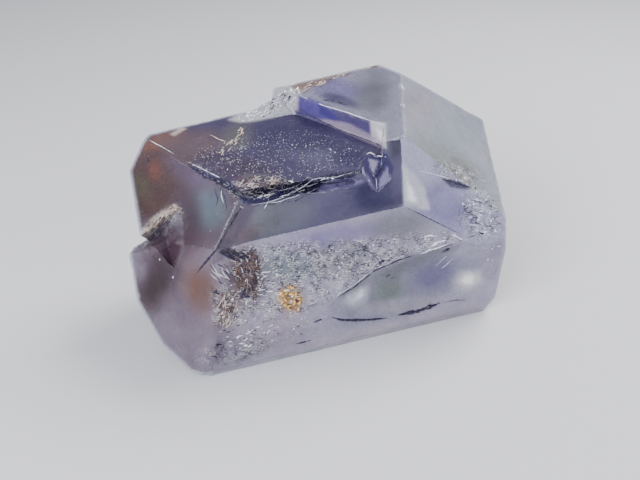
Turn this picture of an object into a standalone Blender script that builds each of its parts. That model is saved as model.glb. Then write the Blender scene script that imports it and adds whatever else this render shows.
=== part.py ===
"""A rough fluorite: one cleaved and broken crystal, 23 mm wide, resting on a flat cleavage face.

The crystal is split from a blank along its flat facets. A terrace is then cut below its roof,
the broken lobe at its left end is joined on, and shell-shaped fractures are scooped out.
Lengths below are in millimetres. +X is to the right, -Y is the front and +Z is up.
"""
import math

import bmesh
import bpy
from mathutils import Matrix, Vector

OBJECT_NAME = "rough_fluorite"
CRYSTAL_NAME = "fluorite_crystal"
MM = 0.001
BLANK_SIZE = 60.0

# The object's origin, at the bottom centre of its box, as seen from the point below the heart.
ORIGIN = Vector((1.009, 1.934, 0.0))

# A facet is (azimuth, tilt, distance). Azimuth is in degrees from the front towards the right,
# tilt is in degrees above the horizontal, and distance runs from the block's heart to the facet.
CRYSTAL_HEART = Vector((0.0, 0.0, 6.0))
CRYSTAL_FACETS = {
    "resting_face": (0.0, -90.0, 6.0),
    "roof": (-7.4, 77.7, 6.65),
    "front_band": (12.0, 28.9, 5.13),
    "front": (14.8, 4.8, 4.45),
    "lower_front": (19.5, -9.3, 5.1),
    "right_slope": (32.2, 26.8, 6.34),
    "right_shoulder": (73.7, 47.1, 8.74),
    "right_end": (88.0, 1.0, 12.2),
    "right_underside": (104.0, -32.0, 12.7),
    "left_slope": (-34.6, 41.5, 7.11),
    "left_front": (-27.5, 7.7, 7.5),
    "left_end": (-84.0, -16.0, 8.9),
    "left_corner": (-110.0, 15.0, 10.65),
    "back": (-159.0, 5.0, 5.5),
    "back_corner": (130.0, 58.0, 11.27),
    "back_prow": (140.0, -30.0, 12.6),
    "back_underside": (-172.0, -30.0, 7.6),
}

# The terrace lies below the roof, in front of a step and to the left of a low wall.
TERRACE_FACETS = {
    "terrace": (-7.4, 77.7, 5.55),
    "step": (-32.2, 4.0, -2.02),
    "wall": (-99.4, -3.9, -4.77),
}

# The notch at the left end runs in under the rim of the left slope.
NOTCH_FACETS = {
    "notch_roof": (36.7, -35.8, -3.44),
    "notch_floor": (-59.9, 17.6, 8.33),
}

# The lobe stands out of the left end below the notch.
LOBE_HEART = Vector((-7.0, -2.0, 3.5))
LOBE_FACETS = {
    "lobe_front": (-22.2, 14.4, 3.0),
    "lobe_end": (-81.5, -2.6, 3.28),
    "lobe_lower_end": (-75.0, -24.6, 3.04),
    "lobe_underside": (-60.0, -40.0, 3.67),
    "lobe_top": (-119.0, 62.6, 3.69),
    "lobe_back": (-150.0, 0.0, 4.4),
    "lobe_right": (14.8, 4.8, 4.47),
    "lobe_toe": (19.5, -9.3, 5.1),
    "lobe_shoulder": (60.0, 52.8, 2.66),
    "lobe_inside": (100.0, 0.0, 4.0),
    "lobe_base": (0.0, -90.0, 3.3),
}

# Small lumps are given by their corners: the broken rim behind the terrace, and the chip
# that is perched at the right end of the crevice.
RIM_CORNERS = {
    "left_tip": (-3.9, 3.3, 12.1),
    "front_left": (-3.1, 2.9, 12.2),
    "front_right": (-0.7, 3.3, 12.3),
    "crest_left": (-2.9, 3.6, 12.9),
    "crest_right": (-0.9, 4.2, 13.6),
    "back_left": (-3.5, 3.75, 11.2),
    "back_right": (-0.4, 4.8, 11.2),
    "root": (-0.5, 3.6, 11.2),
}
CHIP_CORNERS = {
    "tip": (3.85, -2.95, 10.3),
    "left": (3.0, -2.35, 11.4),
    "right": (4.75, -2.4, 10.8),
    "crest": (3.62, -1.35, 12.0),
    "crest_right": (4.5, -1.7, 11.75),
    "root_left": (3.3, -0.7, 11.2),
    "root_right": (4.5, -0.7, 11.2),
}

# The crevice under the terrace's front edge is a thin lens-shaped slot along the cleavage.
CREVICE_MIDDLE = Vector((-0.25, -3.0, 10.75))
CREVICE_SIZE = Vector((3.3, 1.15, 0.24))
CREVICE_TURN = 16.0
CREVICE_TILT = -10.0

# A shell-shaped fracture is (facet, sideways, upwards, half length, half height, roll, depth).
# Sideways and upwards place its middle along and up the facet from the facet's foot, and roll is
# in degrees about the facet's normal.
FRACTURES = {
    "front_shell": ("lower_front", 5.6, -1.25, 5.0, 2.5, 8.0, 0.5),
    "right_shell": ("right_end", 4.0, -2.5, 3.2, 3.0, 0.0, 0.6),
    "back_shell": ("back", -6.5, -1.5, 4.4, 3.4, 0.0, 0.6),
    "back_left_shell": ("back", 3.5, -2.2, 3.2, 3.0, 0.0, 0.6),
    "left_shell": ("left_end", -2.5, 0.5, 2.4, 2.4, 0.0, 0.45),
}
# How many times as deep as its shell the egg is that scoops the shell out, from middle to tip.
FRACTURE_ROUNDNESS = 10.0
FRACTURE_SEGMENTS = 48
FRACTURE_RINGS = 24

CRYSTAL_COLOUR = (0.50, 0.47, 0.62, 1.0)
CRYSTAL_ROUGHNESS = 0.12
CRYSTAL_IOR = 1.434


def facet_normal(azimuth, tilt):
    """Return the outward direction of a facet."""
    turn = math.radians(azimuth)
    lift = math.radians(tilt)
    return Vector((math.sin(turn) * math.cos(lift), -math.cos(turn) * math.cos(lift), math.sin(lift)))


def opposite(facet):
    """Return the same plane, facing the other way."""
    azimuth, tilt, distance = facet
    return azimuth + 180.0, -tilt, -distance


def finish_solid(name, shape, collection):
    """Turn a shape in millimetres into an object in metres."""
    bmesh.ops.recalc_face_normals(shape, faces=shape.faces[:])
    bmesh.ops.translate(shape, vec=-ORIGIN, verts=shape.verts[:])
    bmesh.ops.scale(shape, vec=(MM, MM, MM), verts=shape.verts[:])
    mesh = bpy.data.meshes.new(name)
    shape.to_mesh(mesh)
    shape.free()
    solid = bpy.data.objects.new(name, mesh)
    collection.objects.link(solid)
    return solid


def cleaved_block(name, heart, facets, collection):
    """Split a cube blank along each facet and keep the side that holds the heart."""
    shape = bmesh.new()
    bmesh.ops.create_cube(shape, size=BLANK_SIZE, matrix=Matrix.Translation(heart))
    for azimuth, tilt, distance in facets:
        normal = facet_normal(azimuth, tilt)
        everything = shape.verts[:] + shape.edges[:] + shape.faces[:]
        split = bmesh.ops.bisect_plane(shape, geom=everything, plane_co=heart + normal * distance,
                                       plane_no=normal, clear_outer=True)
        rim = [item for item in split["geom_cut"] if isinstance(item, bmesh.types.BMEdge)]
        if rim:
            bmesh.ops.contextual_create(shape, geom=rim)
    return finish_solid(name, shape, collection)


def cornered_lump(name, corners, collection):
    """Wrap a closed lump around its corners."""
    shape = bmesh.new()
    for corner in corners:
        shape.verts.new(corner)
    hull = bmesh.ops.convex_hull(shape, input=shape.verts[:])
    inside = [item for item in hull["geom_interior"] if isinstance(item, bmesh.types.BMVert)]
    bmesh.ops.delete(shape, geom=inside, context="VERTS")
    return finish_solid(name, shape, collection)


def crevice_slot(collection):
    """Make the lens that opens the crevice."""
    shape = bmesh.new()
    bmesh.ops.create_uvsphere(shape, u_segments=FRACTURE_RINGS, v_segments=FRACTURE_RINGS // 2, radius=1.0)
    bmesh.ops.scale(shape, vec=CREVICE_SIZE, verts=shape.verts[:])
    tilt = Matrix.Rotation(math.radians(CREVICE_TILT), 4, "X")
    turn = Matrix.Rotation(math.radians(CREVICE_TURN), 4, "Z") @ tilt
    bmesh.ops.transform(shape, matrix=Matrix.Translation(CREVICE_MIDDLE) @ turn, verts=shape.verts[:])
    return finish_solid("crevice_slot", shape, collection)


def fracture_shell(name, fracture, collection):
    """Make the egg that scoops a shell-shaped fracture out of a facet."""
    facet, sideways, upwards, half_length, half_height, roll, depth = fracture
    azimuth, tilt, distance = CRYSTAL_FACETS[facet]
    normal = facet_normal(azimuth, tilt)
    along = Vector((0.0, 0.0, 1.0)).cross(normal).normalized()
    up = normal.cross(along)
    reach = depth * FRACTURE_ROUNDNESS
    widening = 1.0 / math.sqrt(1.0 - (1.0 - 1.0 / FRACTURE_ROUNDNESS) ** 2)
    middle = CRYSTAL_HEART + normal * (distance + reach - depth) + along * sideways + up * upwards
    facing = Matrix((along, up, normal)).transposed().to_4x4()
    shape = bmesh.new()
    bmesh.ops.create_uvsphere(shape, u_segments=FRACTURE_SEGMENTS, v_segments=FRACTURE_RINGS, radius=1.0)
    size = Vector((half_length * widening, half_height * widening, reach))
    bmesh.ops.scale(shape, vec=size, verts=shape.verts[:])
    turn = facing @ Matrix.Rotation(math.radians(roll), 4, "Z")
    bmesh.ops.transform(shape, matrix=Matrix.Translation(middle) @ turn, verts=shape.verts[:])
    return finish_solid(name, shape, collection)


def combine(crystal, other, operation):
    """Join another solid to the crystal, or cut it away."""
    other.hide_render = True
    other.display_type = "WIRE"
    step = crystal.modifiers.new(other.name, "BOOLEAN")
    step.operation = operation
    step.solver = "EXACT"
    step.object = other


def crystal_material():
    """Clear fluorite with a pale violet tint."""
    material = bpy.data.materials.new("pale_violet_fluorite")
    material.use_nodes = True
    surface = material.node_tree.nodes["Principled BSDF"]
    surface.inputs["Base Color"].default_value = CRYSTAL_COLOUR
    surface.inputs["Roughness"].default_value = CRYSTAL_ROUGHNESS
    surface.inputs["Metallic"].default_value = 0.0
    surface.inputs["IOR"].default_value = CRYSTAL_IOR
    surface.inputs["Transmission Weight"].default_value = 1.0
    material.diffuse_color = CRYSTAL_COLOUR
    return material


def build_crystal():
    for item in list(bpy.data.objects):
        bpy.data.objects.remove(item, do_unlink=True)
    parts = bpy.data.collections.new(OBJECT_NAME)
    cutters = bpy.data.collections.new("cutters")
    for collection in (parts, cutters):
        bpy.context.scene.collection.children.link(collection)

    crystal = cleaved_block(CRYSTAL_NAME, CRYSTAL_HEART, CRYSTAL_FACETS.values(), parts)
    terrace = [opposite(facet) for facet in TERRACE_FACETS.values()]
    combine(crystal, cleaved_block("terrace_cut", CRYSTAL_HEART, terrace, cutters), "DIFFERENCE")
    notch = [opposite(facet) for facet in NOTCH_FACETS.values()]
    combine(crystal, cleaved_block("notch_cut", CRYSTAL_HEART, notch, cutters), "DIFFERENCE")
    combine(crystal, cleaved_block("left_lobe", LOBE_HEART, LOBE_FACETS.values(), cutters), "UNION")
    combine(crystal, cornered_lump("back_rim", RIM_CORNERS.values(), cutters), "UNION")
    combine(crystal, crevice_slot(cutters), "DIFFERENCE")
    combine(crystal, cornered_lump("perched_chip", CHIP_CORNERS.values(), cutters), "UNION")
    for name, fracture in FRACTURES.items():
        combine(crystal, fracture_shell(name, fracture, cutters), "DIFFERENCE")
    crystal.data.materials.append(crystal_material())


build_crystal()
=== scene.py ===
"""The looks of the rough fluorite: its worn surface, its colours and what is sealed in it.

Lengths are in millimetres until a mesh is made. +X is to the right, -Y is the front and +Z is up.
Small features are placed by the pixel of the 640 by 480 photograph at which they are seen.
"""
import math

import bmesh
import bpy
import numpy as np
from mathutils import Euler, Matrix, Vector, noise
from mathutils.bvhtree import BVHTree
from mathutils.kdtree import KDTree


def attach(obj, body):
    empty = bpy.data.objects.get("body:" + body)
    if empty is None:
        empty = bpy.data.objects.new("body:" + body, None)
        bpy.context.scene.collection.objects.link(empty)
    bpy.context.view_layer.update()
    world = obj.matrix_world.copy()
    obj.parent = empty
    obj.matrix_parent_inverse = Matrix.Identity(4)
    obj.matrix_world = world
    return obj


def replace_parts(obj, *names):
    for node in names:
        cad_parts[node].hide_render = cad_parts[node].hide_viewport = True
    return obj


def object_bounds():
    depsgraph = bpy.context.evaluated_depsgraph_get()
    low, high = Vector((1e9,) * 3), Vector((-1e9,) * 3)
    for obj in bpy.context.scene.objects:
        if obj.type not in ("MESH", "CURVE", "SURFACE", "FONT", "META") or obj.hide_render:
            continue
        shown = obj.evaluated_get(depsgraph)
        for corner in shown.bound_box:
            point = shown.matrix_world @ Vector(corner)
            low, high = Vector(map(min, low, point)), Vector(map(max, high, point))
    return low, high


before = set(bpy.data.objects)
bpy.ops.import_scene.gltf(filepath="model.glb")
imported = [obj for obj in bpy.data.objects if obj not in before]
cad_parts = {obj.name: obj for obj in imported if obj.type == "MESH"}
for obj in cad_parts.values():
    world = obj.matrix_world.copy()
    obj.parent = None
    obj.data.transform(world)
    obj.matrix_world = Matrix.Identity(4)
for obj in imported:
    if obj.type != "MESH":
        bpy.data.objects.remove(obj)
CAD_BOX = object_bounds()

MM = 0.001
CRYSTAL_NODE = "fluorite_crystal"

# The camera: its place, how far it looks down, and its lens.
EYE = Vector((-0.234, -37.274, 27.9))
PITCH = math.radians(32.5)
PHOTO_WIDTH = 640
PHOTO_HEIGHT = 480
FOCAL_PIXELS = 670.0
SENSOR_MM = 36.0

# The flat facets by (azimuth, tilt, distance from the heart), as the solid has them.
HEART = Vector((-1.009, -1.934, 6.0))
FACETS = {
    "roof": (-7.4, 77.7, 6.65),
    "terrace": (-7.4, 77.7, 5.55),
    "step": (-32.2, 4.0, -2.02),
    "front_band": (12.0, 28.9, 5.13),
    "front": (14.8, 4.8, 4.45),
    "lower_front": (19.5, -9.3, 5.1),
    "right_slope": (32.2, 26.8, 6.34),
    "right_shoulder": (73.7, 47.1, 8.74),
    "right_end": (88.0, 1.0, 12.2),
    "left_slope": (-34.6, 41.5, 7.11),
    "left_front": (-27.5, 7.7, 7.5),
}
# A facet's triangles point its way and lie this close to it.
FACET_AGREEMENT = 0.999
FACET_SLACK = 0.03

# The crevice is a lens. Its mouth and its surroundings are these shares of the lens's size, each
# as outer and inner limit. Its rags are the size and the offset of a noise.
CREVICE_MIDDLE = (-1.259, -4.934, 10.75)
CREVICE_SIZE = (3.3, 1.15, 0.24)
CREVICE_TURN = Euler((math.radians(-10.0), 0.0, math.radians(16.0)))
CREVICE_MOUTH = (1.22, 1.06)
CREVICE_SURROUNDS = (2.2, 1.8)
CREVICE_RAGS = (0.25, 9.0)
CREVICE_RAGGEDNESS = 0.05

# The front shell: its place on its facet (sideways, upwards), half length and half height. Its
# ripples spread from a source that is given in shares of the half size.
SHELL_FACET = "lower_front"
SHELL_PLACE = (5.6, -1.25)
SHELL_HALF_SIZE = (5.0, 2.5)
SHELL_DEEPEST = 0.8
RIPPLE_DEPTH = 0.02
RIPPLE_SOURCE = (0.7, 0.2)
RIPPLE_RATE = 7.0
RIPPLE_UNEVENNESS = (0.6, 2.3)

# How clear the fluorite is, and the violet that its depth takes on.
FLUORITE_IOR = 1.434
CLEARNESS = 0.55
DEPTH_COLOUR = (0.66, 0.62, 0.82, 1.0)
DEPTH_DENSITY = 14.0

# The fine mesh, and its edges: creases that wear, and creases that shade as sharp. Worn edges are
# rounded by a few rounds of smoothing.
FLAT_ANGLE = math.radians(0.5)
SLICE = 1.0
LONGEST_EDGE = 0.19
WORN_ANGLE = math.radians(14.0)
SHARP_ANGLE = math.radians(24.0)
ROUNDED_WITHIN = 0.15
ROUNDING_ROUNDS = 2
ROUNDING = 0.4
WELD = 1e-4

# An edge is on the outline if there is no crystal this many pixels beside it.
OUTLINE_ASIDE = 4.0


def eye_ray(pixel):
    """Return the direction in which the camera sees a pixel."""
    across = (pixel[0] - PHOTO_WIDTH / 2) / FOCAL_PIXELS
    upwards = (PHOTO_HEIGHT / 2 - pixel[1]) / FOCAL_PIXELS
    forward = Vector((0.0, math.cos(PITCH), -math.sin(PITCH)))
    up = Vector((0.0, math.sin(PITCH), math.cos(PITCH)))
    return (forward + Vector((1.0, 0.0, 0.0)) * across + up * upwards).normalized()


def pixels_of(places):
    """Return the column and row at which the camera sees each place."""
    offset = places - np.array(EYE)
    ahead = offset[:, 1] * math.cos(PITCH) - offset[:, 2] * math.sin(PITCH)
    up = offset[:, 1] * math.sin(PITCH) + offset[:, 2] * math.cos(PITCH)
    column = PHOTO_WIDTH / 2 + FOCAL_PIXELS * offset[:, 0] / ahead
    row = PHOTO_HEIGHT / 2 - FOCAL_PIXELS * up / ahead
    return column, row


def facet_normal(facet):
    """Return the outward direction of a facet."""
    azimuth, tilt = (math.radians(angle) for angle in FACETS[facet][:2])
    return Vector((math.sin(azimuth) * math.cos(tilt), -math.cos(azimuth) * math.cos(tilt), math.sin(tilt)))


def linear(red, green, blue):
    """Turn a colour of 0 to 255 as seen into the linear colour that shaders use."""
    tones = np.array((red, green, blue)) / 255.0
    return np.where(tones <= 0.04045, tones / 12.92, ((tones + 0.055) / 1.055) ** 2.4)


def smooth_rise(value, start, end):
    """Go smoothly from 0 at start to 1 at end."""
    share = np.clip((value - start) / (end - start), 0.0, 1.0)
    return share * share * (3.0 - 2.0 * share)


def noise_at(places, size, offset=0.0):
    """Return smooth noise between about -1 and 1 whose bumps are as large as size."""
    shift = Vector((offset, offset * 0.7, -offset))
    return np.array([noise.noise(Vector(place) / size + shift) for place in places])


def refine(shape, longest):
    """Halve every edge that is too long, until the mesh can carry small detail."""
    for _ in range(3):
        long = [edge for edge in shape.edges if edge.calc_length() > longest]
        bmesh.ops.subdivide_edges(shape, edges=long, cuts=1)
        bmesh.ops.triangulate(shape, faces=[face for face in shape.faces if len(face.verts) > 3])


def fine_copy():
    """Copy the solid in millimetres as an even mesh of small triangles."""
    shape = bmesh.new()
    shape.from_mesh(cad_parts[CRYSTAL_NODE].data)
    bmesh.ops.scale(shape, vec=Vector((1.0, 1.0, 1.0)) / MM, verts=shape.verts[:])
    bmesh.ops.remove_doubles(shape, verts=shape.verts[:], dist=WELD)
    bmesh.ops.dissolve_limit(shape, angle_limit=FLAT_ANGLE, verts=shape.verts[:], edges=shape.edges[:])
    for axis in range(3):
        across = Vector([float(axis == other) for other in range(3)])
        for place in np.arange(CAD_BOX[0][axis] / MM + SLICE / 2, CAD_BOX[1][axis] / MM, SLICE):
            everything = shape.verts[:] + shape.edges[:] + shape.faces[:]
            bmesh.ops.bisect_plane(shape, geom=everything, dist=WELD, plane_co=across * place,
                                   plane_no=across)
    bmesh.ops.triangulate(shape, faces=shape.faces[:])
    refine(shape, LONGEST_EDGE)
    return shape


class Surface:
    """What is known of the fine mesh's points: place, direction, facet, pixel and edge distance."""

    def __init__(self, shape):
        shape.verts.ensure_lookup_table()
        shape.normal_update()
        self.places = np.array([point.co[:] for point in shape.verts])
        self.normals = np.array([point.normal[:] for point in shape.verts])
        self.column, self.row = pixels_of(self.places)
        toward_eye = np.array(EYE) - self.places
        self.facing = (self.normals * toward_eye).sum(1) / np.linalg.norm(toward_eye, axis=1)
        self.seen = self.facing > 0.0
        self.corners = np.array([point.index for face in shape.faces for point in face.verts])
        self.corner_faces = np.repeat(np.arange(len(shape.faces)), 3)
        self.face_normals = np.array([face.normal[:] for face in shape.faces])
        self.corner_on = {name: self.corners_on_facet(name) for name in FACETS}
        self.on = {name: self.points_of(corners) for name, corners in self.corner_on.items()}
        tree = BVHTree.FromBMesh(shape)
        self.edge_distance = self.distance_to([edge for edge in shape.edges if self.is_crease(edge)])
        outline = [edge for edge in shape.edges if self.is_outline(edge, tree)]
        self.outline_distance = self.distance_to(outline)

    def corners_on_facet(self, name):
        """Say of every triangle's corner whether the triangle lies on a facet."""
        normal = np.array(facet_normal(name))
        reach = (self.places[self.corners[::3]] - np.array(HEART)) @ normal
        flat = self.face_normals @ normal > FACET_AGREEMENT
        flat &= np.abs(reach - FACETS[name][2]) < FACET_SLACK
        return flat[self.corner_faces]

    def points_of(self, corners):
        """Say of every point whether one of the chosen corners is there."""
        points = np.zeros(len(self.places), bool)
        points[self.corners[corners]] = True
        return points

    def is_crease(self, edge):
        """Say whether an edge is a crease between two facets."""
        return len(edge.link_faces) == 2 and edge.calc_face_angle() > WORN_ANGLE

    def is_outline(self, edge, tree):
        """Say whether an edge is on the crystal's outline as the photograph shows it."""
        facing = [face.normal.dot(EYE - edge.verts[0].co) > 0.0 for face in edge.link_faces]
        if len(set(facing)) < 2:
            return False
        column, row = pixels_of(np.array([point.co[:] for point in edge.verts]))
        reach = OUTLINE_ASIDE / max(math.hypot(column[1] - column[0], row[1] - row[0]), 1e-6)
        aside = ((row[1] - row[0]) * reach, (column[0] - column[1]) * reach)
        for side in (-1.0, 1.0):
            beyond = (column.mean() + side * aside[0], row.mean() + side * aside[1])
            if tree.ray_cast(EYE, eye_ray(beyond))[0] is None:
                return True
        return False

    def distance_to(self, edges):
        """Return how far each point is from the nearest of some edges."""
        tree = KDTree(2 * len(edges))
        for edge in edges:
            for point in edge.verts:
                tree.insert(point.co, point.index)
        tree.balance()
        return np.array([tree.find(place)[2] for place in self.places])

    def in_crevice(self, outside, inside):
        """Return 1 on the walls of the crevice, with a ragged end at its mouth."""
        inverse = np.array(CREVICE_TURN.to_matrix())
        local = (self.places - np.array(CREVICE_MIDDLE)) @ inverse / np.array(CREVICE_SIZE)
        reach = np.linalg.norm(local, axis=1) + CREVICE_RAGGEDNESS * noise_at(self.places, *CREVICE_RAGS)
        return smooth_rise(-reach, -outside, -inside)

    def field(self, outline, soft):
        """Return 1 inside an outline of the photograph, fading to 0 over its soft border."""
        inside = np.zeros(len(self.places), bool)
        nearest = np.full(len(self.places), 1e9)
        for (x1, y1), (x2, y2) in zip(outline, outline[1:] + outline[:1]):
            crossed = (y1 > self.row) != (y2 > self.row)
            if y1 != y2:
                inside ^= crossed & (self.column < x1 + (self.row - y1) * (x2 - x1) / (y2 - y1))
            length = (x2 - x1) ** 2 + (y2 - y1) ** 2
            along = ((self.column - x1) * (x2 - x1) + (self.row - y1) * (y2 - y1)) / length
            along = np.clip(along, 0.0, 1.0)
            gap = np.hypot(self.column - x1 - along * (x2 - x1), self.row - y1 - along * (y2 - y1))
            nearest = np.minimum(nearest, gap)
        return smooth_rise(np.where(inside, nearest, -nearest), -soft, soft) * self.seen

    def spot(self, centre, radii, turn, soft):
        """Return 1 in an ellipse of the photograph, fading to 0 outside it."""
        angle = math.radians(turn)
        along = (self.column - centre[0]) * math.cos(angle) - (self.row - centre[1]) * math.sin(angle)
        across = (self.column - centre[0]) * math.sin(angle) + (self.row - centre[1]) * math.cos(angle)
        reach = np.hypot(along / radii[0], across / radii[1])
        return smooth_rise(-reach, -1.0 - soft, -1.0 + soft) * self.seen

    def spots(self, rows):
        """Return the sum of some spots, each as (centre, radii, turn, softness, amount)."""
        return sum(row[4] * self.spot(*row[:4]) for row in rows)

    def hidden_patches(self, size, offset, start, end, amount):
        """Return patches on the sides that the photograph doesn't show."""
        return ~self.seen * amount * smooth_rise(noise_at(self.places, size, offset), start, end)


# Each facet's first colour as seen.
BASE_COLOURS = {
    "roof": (160, 160, 180),
    "terrace": (76, 68, 104),
    "step": (82, 72, 126),
    "front_band": (104, 104, 128),
    "front": (198, 194, 214),
    "lower_front": (212, 208, 230),
    "right_slope": (206, 204, 232),
    "right_shoulder": (200, 205, 214),
    "right_end": (214, 214, 234),
    "left_slope": (112, 94, 106),
    "left_front": (134, 116, 132),
}
OTHER_COLOUR = (204, 200, 222)

# A haze is (facets or none for all, centre, radii and turn in the photograph, softness,
# colour as seen, amount).
HAZES = {
    "left_body": (None, (156, 312), (58, 82), 0, 0.35, (134, 116, 132), 0.95),
    "brown_left_end": (None, (155, 170), (36, 38), 0, 0.6, (98, 74, 70), 0.9),
    "orange_glow": (None, (162, 141), (24, 8), 15, 0.6, (146, 98, 80), 0.8),
    "brown_terrace_end": (("terrace",), (190, 146), (38, 15), 8, 0.5, (112, 92, 98), 0.9),
    "green_terrace_back": (("terrace",), (238, 136), (16, 12), 30, 0.6, (112, 112, 108), 0.8),
    "violet_middle": (("terrace",), (312, 140), (60, 20), -10, 0.5, (54, 46, 92), 0.85),
    "violet_left": (("terrace",), (236, 168), (40, 12), -12, 0.5, (74, 58, 78), 0.85),
    "violet_light": (("terrace",), (322, 158), (34, 8), -8, 0.7, (110, 106, 138), 0.6),
    "blue_dark": (("terrace",), (352, 160), (20, 9), 0, 0.5, (38, 34, 84), 0.95),
    "roof_violet": (("roof",), (336, 88), (26, 10), -12, 0.6, (126, 116, 172), 0.8),
    "roof_dark": (("roof",), (340, 100), (20, 5), -16, 0.5, (70, 62, 104), 0.8),
    "roof_grey": (("roof",), (374, 94), (16, 22), 0, 0.7, (108, 110, 118), 0.85),
    "band_violet": (("front_band",), (374, 194), (34, 15), 15, 0.6, (34, 28, 76), 0.98),
    "band_slate": (("front_band",), (322, 208), (34, 16), 15, 0.6, (96, 94, 122), 0.85),
    "band_green": (("front_band",), (272, 218), (40, 18), 15, 0.6, (120, 126, 132), 0.95),
    "band_brown": (("front_band",), (244, 232), (16, 9), 15, 0.6, (124, 108, 112), 0.8),
    "strip_pale": (("front_band",), (396, 118), (7, 50), 0, 0.4, (46, 44, 60), 0.95),
    "strip_light": (("front_band",), (405, 110), (4, 44), 0, 0.5, (82, 80, 92), 0.9),
    "strip_low": (("front_band",), (399, 180), (8, 22), 0, 0.5, (100, 94, 128), 0.9),
    "slope_lavender": (("right_slope",), (448, 206), (30, 20), -25, 0.6, (158, 152, 200), 0.95),
    "shoulder_olive": (("right_shoulder",), (458, 168), (26, 13), -30, 0.6, (142, 146, 138), 0.85),
    "shoulder_pink": (("right_shoulder",), (418, 108), (12, 18), 0, 0.8, (202, 190, 196), 0.7),
    "shoulder_green": (("right_shoulder",), (430, 150), (22, 18), 0, 0.7, (172, 184, 174), 0.8),
    "shoulder_blue": (("right_shoulder",), (462, 132), (22, 18), 0, 0.7, (190, 200, 214), 0.8),
    "front_lavender": (("front",), (330, 238), (56, 11), 12, 0.6, (154, 142, 192), 0.85),
    "front_olive": (("front",), (402, 226), (30, 14), 0, 0.6, (142, 144, 150), 0.85),
    "front_frosty": (("front",), (318, 262), (66, 16), 6, 0.6, (160, 160, 172), 0.9),
    "front_teal": (("front",), (286, 266), (22, 12), 0, 0.7, (130, 154, 160), 0.8),
    "front_brown": (None, (242, 278), (22, 32), 0, 0.6, (120, 96, 98), 0.9),
    "front_orange": (None, (224, 312), (16, 20), 0, 0.6, (184, 158, 146), 0.7),
    "front_dark_low": (None, (236, 350), (32, 12), 12, 0.6, (112, 112, 138), 0.85),
    "front_pale_low": (None, (276, 334), (36, 18), 10, 0.7, (196, 184, 200), 0.8),
    "golden": (None, (290, 299), (12, 13), 0, 0.6, (206, 160, 98), 0.85),
    "low_strip": (("lower_front",), (380, 338), (120, 13), 14, 0.5, (236, 228, 240), 0.95),
    "left_haze": (("left_slope",), (209, 208), (20, 20), 0, 0.6, (116, 132, 142), 0.95),
    "left_violet": (("left_slope",), (188, 172), (24, 12), -30, 0.6, (120, 106, 130), 0.8),
    "wedge_brown": (("left_slope",), (150, 192), (24, 30), -20, 0.6, (88, 64, 58), 0.98),
    "wedge_rust": (None, (155, 170), (6, 9), 0, 0.8, (140, 84, 70), 0.7),
    "wedge_green": (None, (142, 186), (8, 12), 20, 0.6, (92, 88, 68), 0.7),
    "notch_dark": (None, (162, 236), (24, 8), 35, 0.5, (96, 78, 88), 0.9),
    "under_notch": (None, (176, 248), (28, 16), 20, 0.6, (92, 66, 82), 0.98),
    "lobe_brown": (None, (156, 288), (19, 26), -20, 0.7, (60, 34, 42), 1.0),
    "lobe_dark": (None, (166, 270), (14, 12), 0, 0.7, (62, 40, 56), 0.9),
    "lobe_orange": (None, (196, 290), (11, 22), 15, 0.9, (136, 88, 62), 0.65),
    "shell_base": (None, (408, 286), (80, 24), 22, 0.3, (154, 156, 180), 0.85),
    # Painted highlight: a white flash in the shell.
    "shell_highlight_left": (None, (358, 297), (13, 8), 35, 0.6, (244, 248, 255), 0.95),
    "shell_green": (None, (388, 290), (16, 14), 20, 0.7, (130, 150, 134), 0.85),
    "shell_grey": (None, (410, 266), (34, 8), 22, 0.7, (126, 130, 134), 0.8),
    "shell_violet": (None, (434, 274), (22, 14), 28, 0.7, (112, 108, 156), 0.85),
    "shell_pale_low": (None, (400, 306), (40, 7), 8, 0.6, (206, 202, 214), 0.8),
    # Painted highlight: another white flash in the shell.
    "shell_highlight_right": (None, (468, 280), (14, 9), 15, 0.6, (255, 255, 255), 0.95),
    "lobe_pale": (None, (186, 334), (32, 28), -40, 0.7, (128, 112, 130), 0.85),
    "left_mauve": (None, (188, 210), (13, 24), 10, 0.7, (78, 62, 72), 0.9),
    "left_low": (None, (176, 344), (30, 20), -40, 0.7, (150, 138, 156), 0.8),
    "border_mauve": (None, (214, 318), (20, 54), 0, 0.9, (156, 142, 160), 0.75),
    "orange_left": (None, (202, 290), (13, 21), 5, 0.7, (122, 80, 60), 0.9),
}

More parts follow.
